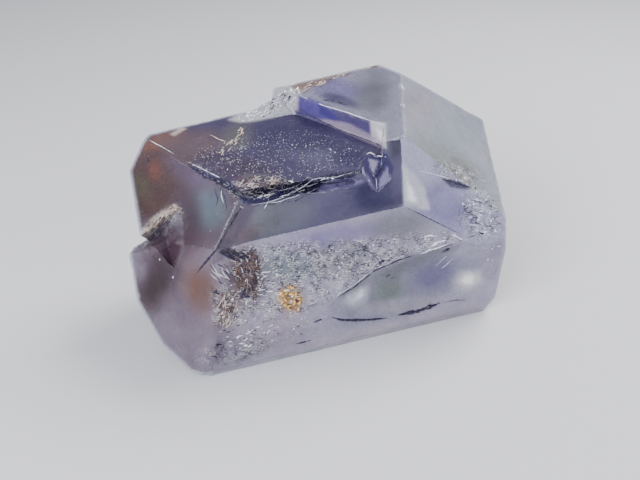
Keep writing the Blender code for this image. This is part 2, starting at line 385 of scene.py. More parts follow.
# A field is (outline in the photograph, softness, colour as seen, amount).
FIELDS = {
    "reddish_lens": ([(233, 180), (245, 174), (265, 175), (291, 183), (273, 191), (253, 195), (240, 192)],
        1.5, (104, 76, 94), 0.9),
    "lens_brow": ([(240, 177), (248, 173), (266, 174), (274, 180), (256, 181)], 1.5, (104, 104, 110), 0.8),
    # Painted shade over a sliver beside the crease that would catch a reflection.
    "band_corner_shade": ([(264, 194), (250, 199), (230, 222), (214, 250), (214, 264), (224, 260), (244, 228)],
        2.5, (104, 94, 108), 0.9),
    "step_left": ([(297, 95), (308, 97), (330, 106), (336, 124), (316, 117), (299, 108)], 2.5, (92, 78, 168),
        0.85),
    "step_streak": ([(317, 103), (328, 107), (340, 122), (328, 120), (320, 114)], 2.5, (58, 48, 132), 0.95),
    # Painted reflections: the white flash on the step and the white triangle on the right slope.
    "step_reflection_patch": ([(370, 121), (386, 123), (386, 148), (372, 141)], 1.5, (255, 250, 255), 0.95),
    "reflected_triangle": ([(403, 166), (413, 172), (424, 186), (430, 210), (404, 206)], 2.5, (246, 248, 255),
        1.0),
    "shoulder_lens": ([(442, 178), (456, 180), (473, 187), (466, 190), (450, 187)], 1.2, (60, 58, 88), 0.9),
    "back_rim": ([(228, 120), (246, 109), (258, 99), (272, 91), (294, 82), (302, 88), (297, 95), (298, 110),
        (270, 118), (254, 121), (240, 122)], 2.0, (216, 218, 216), 0.95),
    "crest": ([(288, 84), (319, 76), (345, 65), (358, 60), (380, 60), (378, 67), (350, 71), (322, 83),
        (298, 92)], 1.5, (150, 122, 102), 0.9),
    "back_left_stroke": ([(170, 134), (182, 127), (186, 129), (174, 136)], 1.0, (236, 220, 196), 0.9),
    "notch_rim": ([(135, 237), (151, 219), (175, 204), (180, 209), (166, 223), (140, 241)], 1.8,
        (230, 214, 192), 0.9),
    "chip": ([(362, 166), (367, 153), (387, 153), (394, 168), (391, 181), (377, 194), (366, 182)], 1.0,
        (62, 56, 102), 1.0),
    "chip_inner": ([(368, 158), (378, 161), (373, 176)], 0.8, (182, 176, 212), 0.95),
    "chip_right": ([(379, 180), (388, 166), (391, 179), (379, 191)], 0.8, (158, 150, 194), 0.95),
    "rim_right": ([(486, 250), (506, 236), (503, 262), (490, 284), (482, 276)], 2.0, (190, 182, 206), 0.8),
    "brown_block": ([(231, 252), (256, 248), (259, 292), (240, 298), (232, 280)], 4.0, (98, 72, 74), 0.85),
    "black_wedge": ([(218, 251), (228, 247), (240, 252), (246, 258), (236, 263)], 1.0, (30, 22, 32), 0.95),
    "step_lower": ([(330, 120), (350, 124), (384, 142), (384, 149), (346, 133), (318, 119)], 1.5,
        (206, 190, 206), 0.7),
    # Painted shade: the dark of the open crevice along the terrace's edge.
    "crevice_shade_band": ([(228, 184), (236, 190), (246, 197), (265, 194), (285, 187), (305, 181), (329, 174),
        (361, 169), (362, 172), (340, 184), (320, 189), (295, 195), (266, 204), (248, 204), (236, 196)], 1.0,
        (30, 24, 66), 0.95),
    "chip_left": ([(363, 171), (369, 176), (376, 190), (372, 187), (365, 178)], 0.8, (134, 126, 168), 0.8),
    "golden_glow": ([(279, 292), (287, 286), (297, 288), (303, 300), (297, 312), (286, 309), (278, 302)],
        3.0, (216, 166, 92), 0.9),
    "shell_shade": ([(334, 301), (352, 287), (376, 271), (400, 261), (440, 248), (462, 243), (456, 252),
        (420, 262), (396, 270), (372, 282), (352, 294)], 3.0, (124, 126, 138), 0.6),
}

# Hazes are uneven: the size and the offset of a noise, and how strongly it counts.
HAZE_RAGS = (1.6, 3.0)
HAZE_RAGGEDNESS = 0.5

# The right end of the crevice is closed here and painted lighter, like the band below it, to lift
# the shade of its slot. The rest of the crevice's walls get a painted shade.
CREVICE_SHUT = [(330, 176), (364, 170), (366, 196), (322, 198), (318, 188)]
CREVICE_SHUT_LIFT_COLOUR = (140, 136, 184)
CREVICE_SHADE_COLOUR = (28, 24, 58)
CREVICE_SHADE_AMOUNT = 0.95

# Light that is caught along the outline, and faintly along the hidden edges.
RIM_COLOUR = (230, 236, 252)
RIM_REACH = (0.34, 0.06)
HIDDEN_RIM_WIDTH = 0.12
HIDDEN_RIM_AMOUNT = 0.16


def hidden_zones(surface):
    """Return the colour bands of the sides that the photograph doesn't show, and how strong each is."""
    x, y, z = surface.places.T
    drift = noise_at(surface.places, 4.5, 21.0)
    patches = noise_at(surface.places, 3.0, 27.0)
    bands = np.sin(0.9 * (0.45 * x - 0.35 * y + 0.82 * z) + 0.8 * drift)
    turned = smooth_rise(-surface.facing, -0.04, 0.12)
    return [
        ((168, 166, 190), 0.85 * turned),
        ((122, 112, 166), 0.60 * turned * smooth_rise(bands, -0.5, 1.1)),
        ((150, 158, 166), 0.50 * turned * smooth_rise(-bands, -0.2, 1.1)),
        ((92, 84, 136), 0.40 * turned * smooth_rise(patches, 0.0, 0.7)),
        ((122, 100, 112), 0.70 * turned * smooth_rise(2.0 * drift - x, 3.5, 10.0)),
        ((214, 212, 228), 0.45 * turned * smooth_rise(-patches, 0.0, 0.7)),
    ]


def paint(surface):
    """Lay down the colours of the facets and of the patches, the painted shade of the crevice and the light
    painted along the edges, for every triangle's corners.
    """
    corners = surface.corners
    colours = np.tile(linear(*OTHER_COLOUR), (len(corners), 1))
    for name, colour in BASE_COLOURS.items():
        colours[surface.corner_on[name]] = linear(*colour)

    def lay(colour, share):
        """Lay a colour over what is there, as strongly as its share at each corner."""
        colours[:] += (linear(*colour) - colours) * share[:, None]

    ragged = np.clip(1.0 + HAZE_RAGGEDNESS * noise_at(surface.places, *HAZE_RAGS), 0.0, 1.0)
    for facets, centre, radii, turn, soft, colour, amount in HAZES.values():
        share = (surface.spot(centre, radii, turn, soft) * amount * ragged)[corners]
        if facets:
            share = share * np.any([surface.corner_on[name] for name in facets], axis=0)
        lay(colour, share)
    for outline, soft, colour, amount in FIELDS.values():
        lay(colour, surface.field(outline, soft)[corners] * amount)
    for colour, share in hidden_zones(surface):
        lay(colour, share[corners])
    # Painted shade on the crevice's walls, and a lighter paint on its closed end that lifts the shade there.
    slot = surface.in_crevice(*CREVICE_MOUTH)
    shut = surface.field(CREVICE_SHUT, 2.0)
    lay(CREVICE_SHUT_LIFT_COLOUR, (slot * shut)[corners])
    lay(CREVICE_SHADE_COLOUR, (CREVICE_SHADE_AMOUNT * slot * (1.0 - shut))[corners])
    rim = smooth_rise(-surface.outline_distance, -RIM_REACH[0], -RIM_REACH[1])
    hidden_rim = ~surface.seen * smooth_rise(-surface.edge_distance, -HIDDEN_RIM_WIDTH, 0.0)
    hidden_rim = hidden_rim * HIDDEN_RIM_AMOUNT * (1.0 - surface.in_crevice(*CREVICE_SURROUNDS))
    lay(RIM_COLOUR, np.maximum(rim, hidden_rim)[corners])
    return colours


# Inside these soft outlines the edge is crisp, and isn't chipped.
CRISP_SOFTNESS = 3.0
CRISP_CREASES = [
    [(250, 190), (258, 196), (230, 244), (214, 260), (204, 252), (232, 204)],
    [(146, 242), (160, 244), (180, 268), (172, 276), (152, 258)],
]

# Broken places, as (centre, radii and turn in the photograph, softness, amount).
ROUGH_SPOTS = [
    ((158, 236), (34, 14), 35, 0.4, 1.0),
    ((484, 216), (22, 26), 0, 0.4, 1.0),
    ((470, 172), (24, 12), -30, 0.4, 0.7),
    ((280, 104), (44, 7), 22, 0.4, 1.0),
]


# Creases are rubbed, and chipped in places, this near to them and this deep. Broken places and the
# crevice's walls are this rough.
RUBBED_WITHIN = 0.14
RUBBED_DEPTH = 0.03
CHIPPED_WITHIN = 0.32
CHIPPED_DEPTH = 0.16
CHIP_RARITY = 0.35
ROUGH_DEPTH = 0.07
ROUGH_RELIEF = 0.10
ROUGH_HIDDEN = (3.5, 5.0, 0.1, 0.4, 0.5)
WEAR_SIZES = (0.9, 0.3)

# Wear sets in between these heights, because the resting face stays flat.
WEAR_STARTS = (0.02, 0.25)


def weather(surface):
    """Chip the edges, ripple the shells and roughen the broken places of the surface."""
    places = surface.places
    coarse = noise_at(places, WEAR_SIZES[0], 1.0)
    fine = noise_at(places, WEAR_SIZES[1], 2.0)
    chips = np.clip(coarse + fine - CHIP_RARITY, 0.0, 1.0)
    wear = smooth_rise(-surface.edge_distance, -RUBBED_WITHIN, 0.0) * RUBBED_DEPTH
    wear += smooth_rise(-surface.edge_distance, -CHIPPED_WITHIN, 0.0) * CHIPPED_DEPTH * chips
    for outline in CRISP_CREASES:
        wear *= 1.0 - surface.field(outline, CRISP_SOFTNESS)
    rough = surface.spots(ROUGH_SPOTS) + surface.hidden_patches(*ROUGH_HIDDEN)
    depth = wear + (rough + surface.in_crevice(*CREVICE_MOUTH)) * (ROUGH_DEPTH + ROUGH_RELIEF * fine)
    depth += shell_ripples(surface)
    depth = np.clip(depth, 0.0, None) * smooth_rise(places[:, 2], *WEAR_STARTS)
    return places - surface.normals * depth[:, None]


def shell_ripples(surface):
    """Return the depth of the curved ripples in the front shell."""
    normal = facet_normal(SHELL_FACET)
    along = Vector((0.0, 0.0, 1.0)).cross(normal).normalized()
    up = normal.cross(along)
    middle = HEART + normal * FACETS[SHELL_FACET][2] + along * SHELL_PLACE[0] + up * SHELL_PLACE[1]
    offset = surface.places - np.array(middle)
    x = offset @ np.array(along)
    y = offset @ np.array(up)
    inward = -(offset @ np.array(normal))
    half_length, half_height = SHELL_HALF_SIZE
    inside = np.hypot(x / half_length, y / half_height) < 1.0
    inside &= (inward > 0.0) & (inward < SHELL_DEEPEST)
    source = np.hypot(x - half_length * RIPPLE_SOURCE[0], y - half_height * RIPPLE_SOURCE[1])
    uneven = RIPPLE_UNEVENNESS[0] * np.sin(source * RIPPLE_UNEVENNESS[1])
    return inside * RIPPLE_DEPTH * (1.0 + np.sin(source * RIPPLE_RATE + uneven))


# Where the surface is frosted, specked, striped or crackled. Spots are (centre, radii and turn in
# the photograph, softness, amount), and what is hidden is (size and offset of the noise, its start
# and end, amount).
FROSTED_EVERYWHERE = 0.12
FROSTED_FACETS = {"terrace": 0.6, "step": 0.4, "roof": 0.3, "right_shoulder": 0.25, "left_slope": 0.2}
FROSTED_FRONT = ("front", "lower_front", "left_front")
FRONT_FROST = 0.3
OUTLINE_FROST_WIDTH = 0.5
OUTLINE_FROST = 0.4
FROSTED_HIDDEN = (2.5, 7.0, -0.2, 0.5, 0.25)
STRIPED_HIDDEN = (3.5, 13.0, 0.0, 0.35, 0.7)
CRACKLED_HIDDEN = (3.0, 11.0, 0.1, 0.45, 0.5)
FROSTED_SPOTS = [
    ((158, 236), (30, 12), 35, 0.5, 1.0),
    ((484, 216), (22, 26), 0, 0.4, 1.0),
    ((280, 104), (44, 8), 22, 0.4, 1.0),
    ((470, 172), (24, 12), -30, 0.5, 0.6),
    ((150, 180), (26, 34), 0, 0.6, 0.3),
    ((180, 310), (50, 60), 0, 0.6, 0.4),
]
SPECKED_TERRACE = ((275, 162), (96, 24), 4, 0.5)
SPECKED_SPOTS = [
    ((484, 212), (18, 26), 0, 0.4, 1.0),
    ((270, 106), (36, 9), 22, 0.4, 1.0),
]
STRIPED_SHELL = [(404, 262), (446, 248), (470, 244), (462, 282), (420, 300)]
STRIPED_SPOTS = [((266, 288), (12, 26), 0, 0.5, 0.6)]
CRACKLED_FRONT = [(232, 248), (300, 240), (345, 240), (440, 232), (466, 238), (420, 252), (372, 272),
                  (330, 298), (300, 316), (262, 322), (214, 326), (212, 290), (232, 282)]
CRACKLED_SPOTS = [
    ((236, 350), (34, 12), 12, 0.5, 0.8),
    ((480, 214), (20, 28), 0, 0.5, 0.7),
    ((455, 172), (20, 9), -20, 0.5, 1.0),
    ((158, 226), (26, 9), 38, 0.5, 0.8),
    ((258, 186), (30, 9), 8, 0.4, 1.0),
]


def finish_masks(surface):
    """Return how frosted, how speckled, how striped and how crackled each point is."""
    frost = FROSTED_EVERYWHERE + sum(amount * surface.on[name] for name, amount in FROSTED_FACETS.items())
    frost += FRONT_FROST * np.any([surface.on[name] for name in FROSTED_FRONT], axis=0)
    frost += surface.spots(FROSTED_SPOTS)
    frost += smooth_rise(-surface.outline_distance, -OUTLINE_FROST_WIDTH, 0.0) * OUTLINE_FROST
    frost += surface.hidden_patches(*FROSTED_HIDDEN)
    speck = surface.on["terrace"] * surface.spot(*SPECKED_TERRACE) + surface.spots(SPECKED_SPOTS)
    stripe = surface.field(STRIPED_SHELL, 4.0) + surface.spots(STRIPED_SPOTS)
    stripe += surface.hidden_patches(*STRIPED_HIDDEN)
    crackle = surface.field(CRACKLED_FRONT, 5.0) + surface.spots(CRACKLED_SPOTS)
    crackle += surface.hidden_patches(*CRACKLED_HIDDEN)
    return np.column_stack([np.clip(mask, 0.0, 1.0) for mask in (frost, speck, stripe, crackle)])


def set_inputs(tree, node, inputs):
    """Give a node's inputs plain values, or link the sockets that feed them."""
    for name, value in inputs.items():
        if isinstance(value, bpy.types.NodeSocket):
            tree.links.new(value, node.inputs[name])
        else:
            node.inputs[name].default_value = value


def add_node(tree, kind, inputs=None, **settings):
    """Add a node with its settings and its inputs, and return its outputs."""
    node = tree.nodes.new(kind)
    for name, value in settings.items():
        setattr(node, name, value)
    set_inputs(tree, node, inputs or {})
    return node.outputs


def computed(tree, operation, first, second):
    """Return the result of a Math node."""
    return add_node(tree, "ShaderNodeMath", {0: first, 1: second}, operation=operation)[0]


def product(tree, first, *others):
    """Return the product of some values."""
    for other in others:
        first = computed(tree, "MULTIPLY", first, other)
    return first


def ranged(tree, value, start, end, low=0.0, high=1.0):
    """Spread the values from start to end over low to high, and hold them there."""
    limits = {"From Min": start, "From Max": end, "To Min": low, "To Max": high}
    return add_node(tree, "ShaderNodeMapRange", {"Value": value, **limits})["Result"]


def blended(tree, share, first, second, way="MIX"):
    """Return a blend of two colours, by a plain share or by a mask."""
    inputs = {"Factor": share, "A": first, "B": second}
    return add_node(tree, "ShaderNodeMix", inputs, data_type="RGBA", blend_type=way)["Result"]


def scaled(tree, vector, length):
    """Return a vector made longer or shorter."""
    return add_node(tree, "ShaderNodeVectorMath", {0: vector, "Scale": length}, operation="SCALE")[0]


def noise_offset(tree, noise_colour, length):
    """Turn the colour of a noise into a push of up to about half a length to any side."""
    inputs = {0: noise_colour, 1: (0.5, 0.5, 0.5)}
    centred = add_node(tree, "ShaderNodeVectorMath", inputs, operation="SUBTRACT")
    return scaled(tree, centred[0], length)


def group_sockets(tree, side, sockets):
    """Give a node group its named inputs or outputs."""
    for name, kind in sockets.items():
        tree.interface.new_socket(name=name, in_out=side, socket_type="NodeSocket" + kind)


def new_material(name, inputs):
    """Start a material with plain values on its Principled shader, and return its parts."""
    material = bpy.data.materials.new(name)
    material.use_nodes = True
    tree = material.node_tree
    shader = tree.nodes["Principled BSDF"]
    set_inputs(tree, shader, inputs)
    return material, tree, shader


def mottle_group():
    """Clouds of a second colour, for every material: varied colour and cloud mask out."""
    tree = bpy.data.node_groups.new("mottle", "ShaderNodeTree")
    group_sockets(tree, "INPUT", {"Colour": "Color", "Second Colour": "Color", "Cloud Size": "Float",
                                  "Amount": "Float"})
    group_sockets(tree, "OUTPUT", {"Colour": "Color", "Cloud": "Float"})
    given = add_node(tree, "NodeGroupInput")
    place = add_node(tree, "ShaderNodeTexCoord")["Object"]
    clouds = add_node(tree, "ShaderNodeTexNoise", {"Vector": place, "Scale": given["Cloud Size"],
                                                   "Detail": 5.0, "Roughness": 0.62})["Fac"]
    cloud = ranged(tree, clouds, 0.36, 0.66)
    colour = blended(tree, product(tree, cloud, given["Amount"]), given["Colour"], given["Second Colour"])
    add_node(tree, "NodeGroupOutput", {"Colour": colour, "Cloud": cloud})
    return tree


# How the fluorite's colour is varied, as (cloud size, amount, tint of the clouds).
FLUORITE_CLOUDS = [
    (900.0, 0.7, (0.72, 0.69, 0.78, 1.0)),
    (6500.0, 0.6, (0.70, 0.68, 0.74, 1.0)),
]
SPECK_COLOUR = (0.75, 0.74, 0.85, 1.0)

# Its crackle, as (cell size, line width, colour). The first kind is also cut into the surface.
CRACKLES = [
    (3400.0, 0.10, (0.05, 0.04, 0.07, 1.0)),
    (4500.0, 0.085, (1.0, 1.0, 1.0, 1.0)),
]
CRACKLE_TURN = (0.0, math.radians(12.0), math.radians(-15.0))
CRACKLE_STRETCH = (0.7, 1.0, 1.9)
STRIPE_TURN = (0.0, math.radians(38.0), 0.0)
STRIPE_STRETCH = (0.12, 1.0, 1.0)

# The roughness of polished and of frosted fluorite, and how its relief shades.
POLISHED = 0.05
FROSTED = 0.50
RELIEF_STRENGTH = 0.7
RELIEF_DEPTH = 0.08


def fluorite_material(mottle):
    """Clear to milky fluorite, painted with its colour zones and worn by its finish masks."""
    material, tree, shader = new_material("fluorite", {"IOR": FLUORITE_IOR, "Transmission Weight": CLEARNESS})
    place = add_node(tree, "ShaderNodeTexCoord")["Object"]
    colour = add_node(tree, "ShaderNodeAttribute", attribute_name="zones")["Color"]
    finish = add_node(tree, "ShaderNodeAttribute", attribute_name="finish")
    masks = add_node(tree, "ShaderNodeSeparateColor", {"Color": finish["Color"]})
    for cloud_size, amount, tint in FLUORITE_CLOUDS:
        inputs = {"Colour": colour, "Second Colour": blended(tree, 1.0, colour, tint, "MULTIPLY"),
                  "Cloud Size": cloud_size, "Amount": amount}
        colour = add_node(tree, "ShaderNodeGroup", inputs, node_tree=mottle)["Colour"]

    dots = add_node(tree, "ShaderNodeTexVoronoi", {"Vector": place, "Scale": 6200.0})["Distance"]
    patches = add_node(tree, "ShaderNodeTexNoise", {"Vector": place, "Scale": 1500.0})["Fac"]
    specks = product(tree, ranged(tree, dots, 0.28, 0.16), ranged(tree, patches, 0.50, 0.62), masks["Green"])
    colour = blended(tree, specks, colour, SPECK_COLOUR)

    flattened = {"Vector": place, "Rotation": CRACKLE_TURN, "Scale": CRACKLE_STRETCH}
    flattened = add_node(tree, "ShaderNodeMapping", flattened)["Vector"]
    crackles = []
    for size, width, tone in CRACKLES:
        cells = add_node(tree, "ShaderNodeTexVoronoi", {"Vector": flattened, "Scale": size},
                         feature="DISTANCE_TO_EDGE")["Distance"]
        groups = add_node(tree, "ShaderNodeTexNoise", {"Vector": place, "Scale": size * 0.45})["Fac"]
        lines = ranged(tree, cells, width, width * 0.3)
        crackles.append(product(tree, lines, ranged(tree, groups, 0.46, 0.54), finish["Alpha"]))
        colour = blended(tree, crackles[-1], colour, tone)

    pits = add_node(tree, "ShaderNodeTexNoise", {"Vector": place, "Scale": 5200.0, "Detail": 4.0})["Fac"]
    stretched = {"Vector": place, "Rotation": STRIPE_TURN, "Scale": STRIPE_STRETCH}
    stretched = add_node(tree, "ShaderNodeMapping", stretched)["Vector"]
    lines = add_node(tree, "ShaderNodeTexNoise", {"Vector": stretched, "Scale": 4200.0})["Fac"]
    relief = computed(tree, "ADD", product(tree, pits, masks["Red"]), product(tree, lines, masks["Blue"]))
    relief = computed(tree, "SUBTRACT", relief, crackles[0])
    relief = {"Strength": RELIEF_STRENGTH, "Distance": RELIEF_DEPTH * MM, "Height": relief}
    bump = add_node(tree, "ShaderNodeBump", relief)
    set_inputs(tree, shader, {"Base Color": colour, "Normal": bump["Normal"],
                              "Roughness": ranged(tree, masks["Red"], 0.0, 1.0, POLISHED, FROSTED)})
    depths = add_node(tree, "ShaderNodeVolumeAbsorption", {"Color": DEPTH_COLOUR, "Density": DEPTH_DENSITY})
    set_inputs(tree, tree.nodes["Material Output"], {"Volume": depths["Volume"]})
    return material


def mineral_material(mottle, name, colour, second, cloud_size, roughness):
    """One of the minerals or crack fillings, clouded between two colours."""
    material, tree, shader = new_material(name, {"Roughness": roughness, "IOR": FLUORITE_IOR})
    inputs = {"Colour": (*linear(*colour), 1.0), "Second Colour": (*linear(*second), 1.0),
              "Cloud Size": cloud_size, "Amount": 1.0}
    clouds = add_node(tree, "ShaderNodeGroup", inputs, node_tree=mottle)
    set_inputs(tree, shader, {"Base Color": clouds["Colour"]})
    return material


def linked_object(name, data):
    """Put new data in the scene as an object."""
    item = bpy.data.objects.new(name, data)
    bpy.context.scene.collection.objects.link(item)
    return item


def place_piece(name, mesh):
    """Put a finished mesh in the scene as a piece of the crystal."""
    piece = linked_object(name, mesh)
    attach(piece, "root")
    return piece


def add_attribute(mesh, name, kind, domain, values):
    """Give a mesh an attribute that its material reads."""
    attribute = mesh.attributes.new(name, kind, domain)
    attribute.data.foreach_set("value" if kind == "FLOAT" else "color", values.ravel())


def finished_crystal(mottle):
    """Make the fluorite's visible surface, and return the worn and the unworn surface for sight lines."""
    shape = fine_copy()
    surface = Surface(shape)
    moved = weather(surface)
    colours = paint(surface)
    finish = finish_masks(surface)
    flat = BVHTree.FromBMesh(shape)
    for point, place in zip(shape.verts, moved):
        point.co = place
    crisp = np.max([surface.field(outline, CRISP_SOFTNESS) for outline in CRISP_CREASES], axis=0)
    rounded = np.flatnonzero((surface.edge_distance < ROUNDED_WITHIN) & (crisp < 0.5))
    rounded = [shape.verts[number] for number in rounded]
    for _ in range(ROUNDING_ROUNDS):
        bmesh.ops.smooth_vert(shape, verts=rounded, factor=ROUNDING, use_axis_x=True, use_axis_y=True,
                              use_axis_z=True)
    worn = BVHTree.FromBMesh(shape)
    bmesh.ops.scale(shape, vec=(MM, MM, MM), verts=shape.verts[:])
    mesh = bpy.data.meshes.new("crystal")
    shape.to_mesh(mesh)
    shape.free()
    zones = np.column_stack([colours, np.ones(len(colours))])
    add_attribute(mesh, "zones", "FLOAT_COLOR", "CORNER", zones)
    add_attribute(mesh, "finish", "FLOAT_COLOR", "POINT", finish)
    mesh.shade_smooth()
    mesh.set_sharp_from_angle(angle=SHARP_ANGLE)
    mesh.materials.append(fluorite_material(mottle))
    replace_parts(place_piece("crystal", mesh), CRYSTAL_NODE)
    return worn, flat


def seen_place(sight, pixel, depth):
    """Return the place seen at a pixel, at a depth under the surface along the bent line of sight."""
    worn, flat = sight
    ray = eye_ray(pixel)
    place = worn.ray_cast(EYE, ray)[0]
    normal = flat.ray_cast(EYE, ray)[1]
    if place is None or normal is None:
        return None
    if depth < 0.0:
        return place - normal * depth
    bend = 1.0 / FLUORITE_IOR
    facing = -ray.dot(normal)
    inward = ray * bend + normal * (bend * facing - math.sqrt(1.0 - bend * bend * (1.0 - facing * facing)))
    return place + inward * depth


def inside_outline(pixel, outline):
    """Say whether a pixel lies inside an outline of pixels."""
    inside = False
    for (x1, y1), (x2, y2) in zip(outline, outline[1:] + outline[:1]):
        if (y1 > pixel[1]) != (y2 > pixel[1]):
            if pixel[0] < x1 + (pixel[1] - y1) * (x2 - x1) / (y2 - y1):
                inside = not inside
    return inside


# A sheet has a point every so many pixels.
SHEET_STEP = 2.0


def draped_sheet(name, sight, outline, depth):
    """Make a sheet under the part of the surface that is seen inside an outline of pixels."""
    columns, rows = (np.arange(min(side), max(side) + SHEET_STEP, SHEET_STEP) for side in zip(*outline))
    numbers, places = {}, []
    for i, column in enumerate(columns):
        for j, row in enumerate(rows):
            if inside_outline((column, row), outline):
                place = seen_place(sight, (column, row), depth)
                if place is not None:
                    numbers[i, j] = len(places)
                    places.append(place * MM)
    faces = []
    for i, j in numbers:
        corners = [(i, j), (i, j + 1), (i + 1, j + 1), (i + 1, j)]
        if all(corner in numbers for corner in corners):
            faces.append([numbers[corner] for corner in corners])
    mesh = bpy.data.meshes.new(name)
    mesh.from_pydata(places, [], faces)
    return mesh


def growing_tree(name, inputs, grown):
    """Start a Geometry Nodes tree that grows something from a base mesh, and return it with its inputs."""
    tree = bpy.data.node_groups.new(name, "GeometryNodeTree")
    group_sockets(tree, "INPUT", inputs)
    group_sockets(tree, "OUTPUT", {grown: "Geometry"})
    return tree, add_node(tree, "NodeGroupInput")


def clothed(tree, geometry, material, grown):
    """End a growing tree: give what it grew its material, and return the tree."""
    clothes = add_node(tree, "GeometryNodeSetMaterial", {"Geometry": geometry, "Material": material})
    add_node(tree, "NodeGroupOutput", {grown: clothes["Geometry"]})
    return tree


def random_value(tree, seed, low, high):
    """Return a random number for each point, between low and high."""
    return add_node(tree, "FunctionNodeRandomValue", {2: low, 3: high, "Seed": seed})[1]


# A grain is this box at its largest, made narrower by its width and flatter by its flatness. The
# random draw for its size starts here.
GRAIN_BOX = (1.4, 1.4, 1.4)
GRAIN_WIDTH = 0.45
SMALLEST_GRAIN = 0.3


def grains_tree():
    """Strew small irregular grains or plates over a sheet and down to a depth under it."""
    tree, given = growing_tree("strewn_grains", {
        "Sheet": "Geometry", "Density": "Float", "Size": "Float", "Flatness": "Float", "Depth": "Float",
        "Seed": "Int", "Material": "Material"}, "Grains")
    seed = given["Seed"]
    strewn = add_node(tree, "GeometryNodeDistributePointsOnFaces",
                      {"Mesh": given["Sheet"], "Density": given["Density"], "Seed": seed})
    sunk = scaled(tree, strewn["Normal"], random_value(tree, seed, 0.0, given["Depth"]))
    points = add_node(tree, "GeometryNodeSetPosition", {"Geometry": strewn["Points"], "Offset": sunk})
    cube = add_node(tree, "GeometryNodeMeshCube", {"Size": GRAIN_BOX})
    flatness = add_node(tree, "ShaderNodeCombineXYZ", {"X": 1.0, "Y": GRAIN_WIDTH, "Z": given["Flatness"]})
    plate = add_node(tree, "GeometryNodeTransform", {"Geometry": cube["Mesh"], "Scale": flatness[0]})
    turn = add_node(tree, "FunctionNodeRandomValue", {1: (math.tau,) * 3, "Seed": seed},
                    data_type="FLOAT_VECTOR")
    size = computed(tree, "POWER", random_value(tree, seed, SMALLEST_GRAIN, 1.0), 1.6)
    placed = add_node(tree, "GeometryNodeInstanceOnPoints", {
        "Points": points["Geometry"], "Instance": plate["Geometry"], "Rotation": turn[0],
        "Scale": product(tree, size, given["Size"])})
    grains = add_node(tree, "GeometryNodeRealizeInstances", {"Geometry": placed["Instances"]})
    lumps = add_node(tree, "ShaderNodeTexNoise", {"Scale": 9000.0})["Color"]
    crushed = add_node(tree, "GeometryNodeSetPosition", {
        "Geometry": grains["Geometry"], "Offset": noise_offset(tree, lumps, given["Size"])})
    return clothed(tree, crushed["Geometry"], given["Material"], "Grains")


# A thread has a point every so many millimetres, and this many sides.
THREAD_STEP = 0.09
THREAD_SIDES = 5


def thread_tree():
    """Turn a line into a thin wavering thread that tapers to both ends."""
    tree, given = growing_tree("wavering_thread", {
        "Line": "Geometry", "Width": "Float", "Waver": "Float", "Seed": "Float",
        "Material": "Material"}, "Thread")
    trace = add_node(tree, "GeometryNodeMeshToCurve", {"Mesh": given["Line"]})
    even = add_node(tree, "GeometryNodeResampleCurve", {"Curve": trace["Curve"], "Length": THREAD_STEP * MM},
                    mode="LENGTH")
    wander = {"Scale": 1600.0, "W": given["Seed"]}
    wander = add_node(tree, "ShaderNodeTexNoise", wander, noise_dimensions="4D")
    moved = add_node(tree, "GeometryNodeSetPosition", {
        "Geometry": even["Curve"], "Offset": noise_offset(tree, wander["Color"], given["Waver"])})
    along = add_node(tree, "GeometryNodeSplineParameter")["Factor"]
    taper = ranged(tree, computed(tree, "PINGPONG", along, 0.5), 0.0, 0.22, 0.15, 1.0)
    ragged = add_node(tree, "ShaderNodeTexNoise", {"Scale": 5200.0})["Fac"]
    width = product(tree, taper, ranged(tree, ragged, 0.3, 0.7, 0.25, 1.3), given["Width"])
    circle = add_node(tree, "GeometryNodeCurvePrimitiveCircle", {"Resolution": THREAD_SIDES, "Radius": 1.0})
    skin = add_node(tree, "GeometryNodeCurveToMesh", {
        "Curve": moved["Geometry"], "Profile Curve": circle["Curve"], "Scale": width, "Fill Caps": True})
    thread = add_node(tree, "GeometryNodeRealizeInstances", {"Geometry": skin["Mesh"]})
    return clothed(tree, thread["Geometry"], given["Material"], "Thread")


def grown_mesh(name, base, tree, values):
    """Run a Geometry Nodes tree on a base mesh and return the result as a plain mesh."""
    seat = linked_object(name, base)
    modifier = seat.modifiers.new(tree.name, "NODES")
    modifier.node_group = tree
    for item in tree.interface.items_tree:
        if item.in_out == "INPUT" and item.name in values:
            modifier[item.identifier] = values[item.name]
    graph = bpy.context.evaluated_depsgraph_get()
    mesh = bpy.data.meshes.new_from_object(seat.evaluated_get(graph))
    bpy.data.objects.remove(seat, do_unlink=True)
    return mesh


def sealed_piece(name, mesh):
    """Make a grown mesh a piece of the crystal, with one material and its faces outwards."""
    material = next(filled for filled in mesh.materials if filled)
    shape = bmesh.new()
    shape.from_mesh(mesh)
    for face in shape.faces:
        face.material_index = 0
    bmesh.ops.recalc_face_normals(shape, faces=shape.faces[:])
    sealed = bpy.data.meshes.new(name)
    shape.to_mesh(sealed)
    shape.free()
    sealed.materials.append(material)
    place_piece(name, sealed)


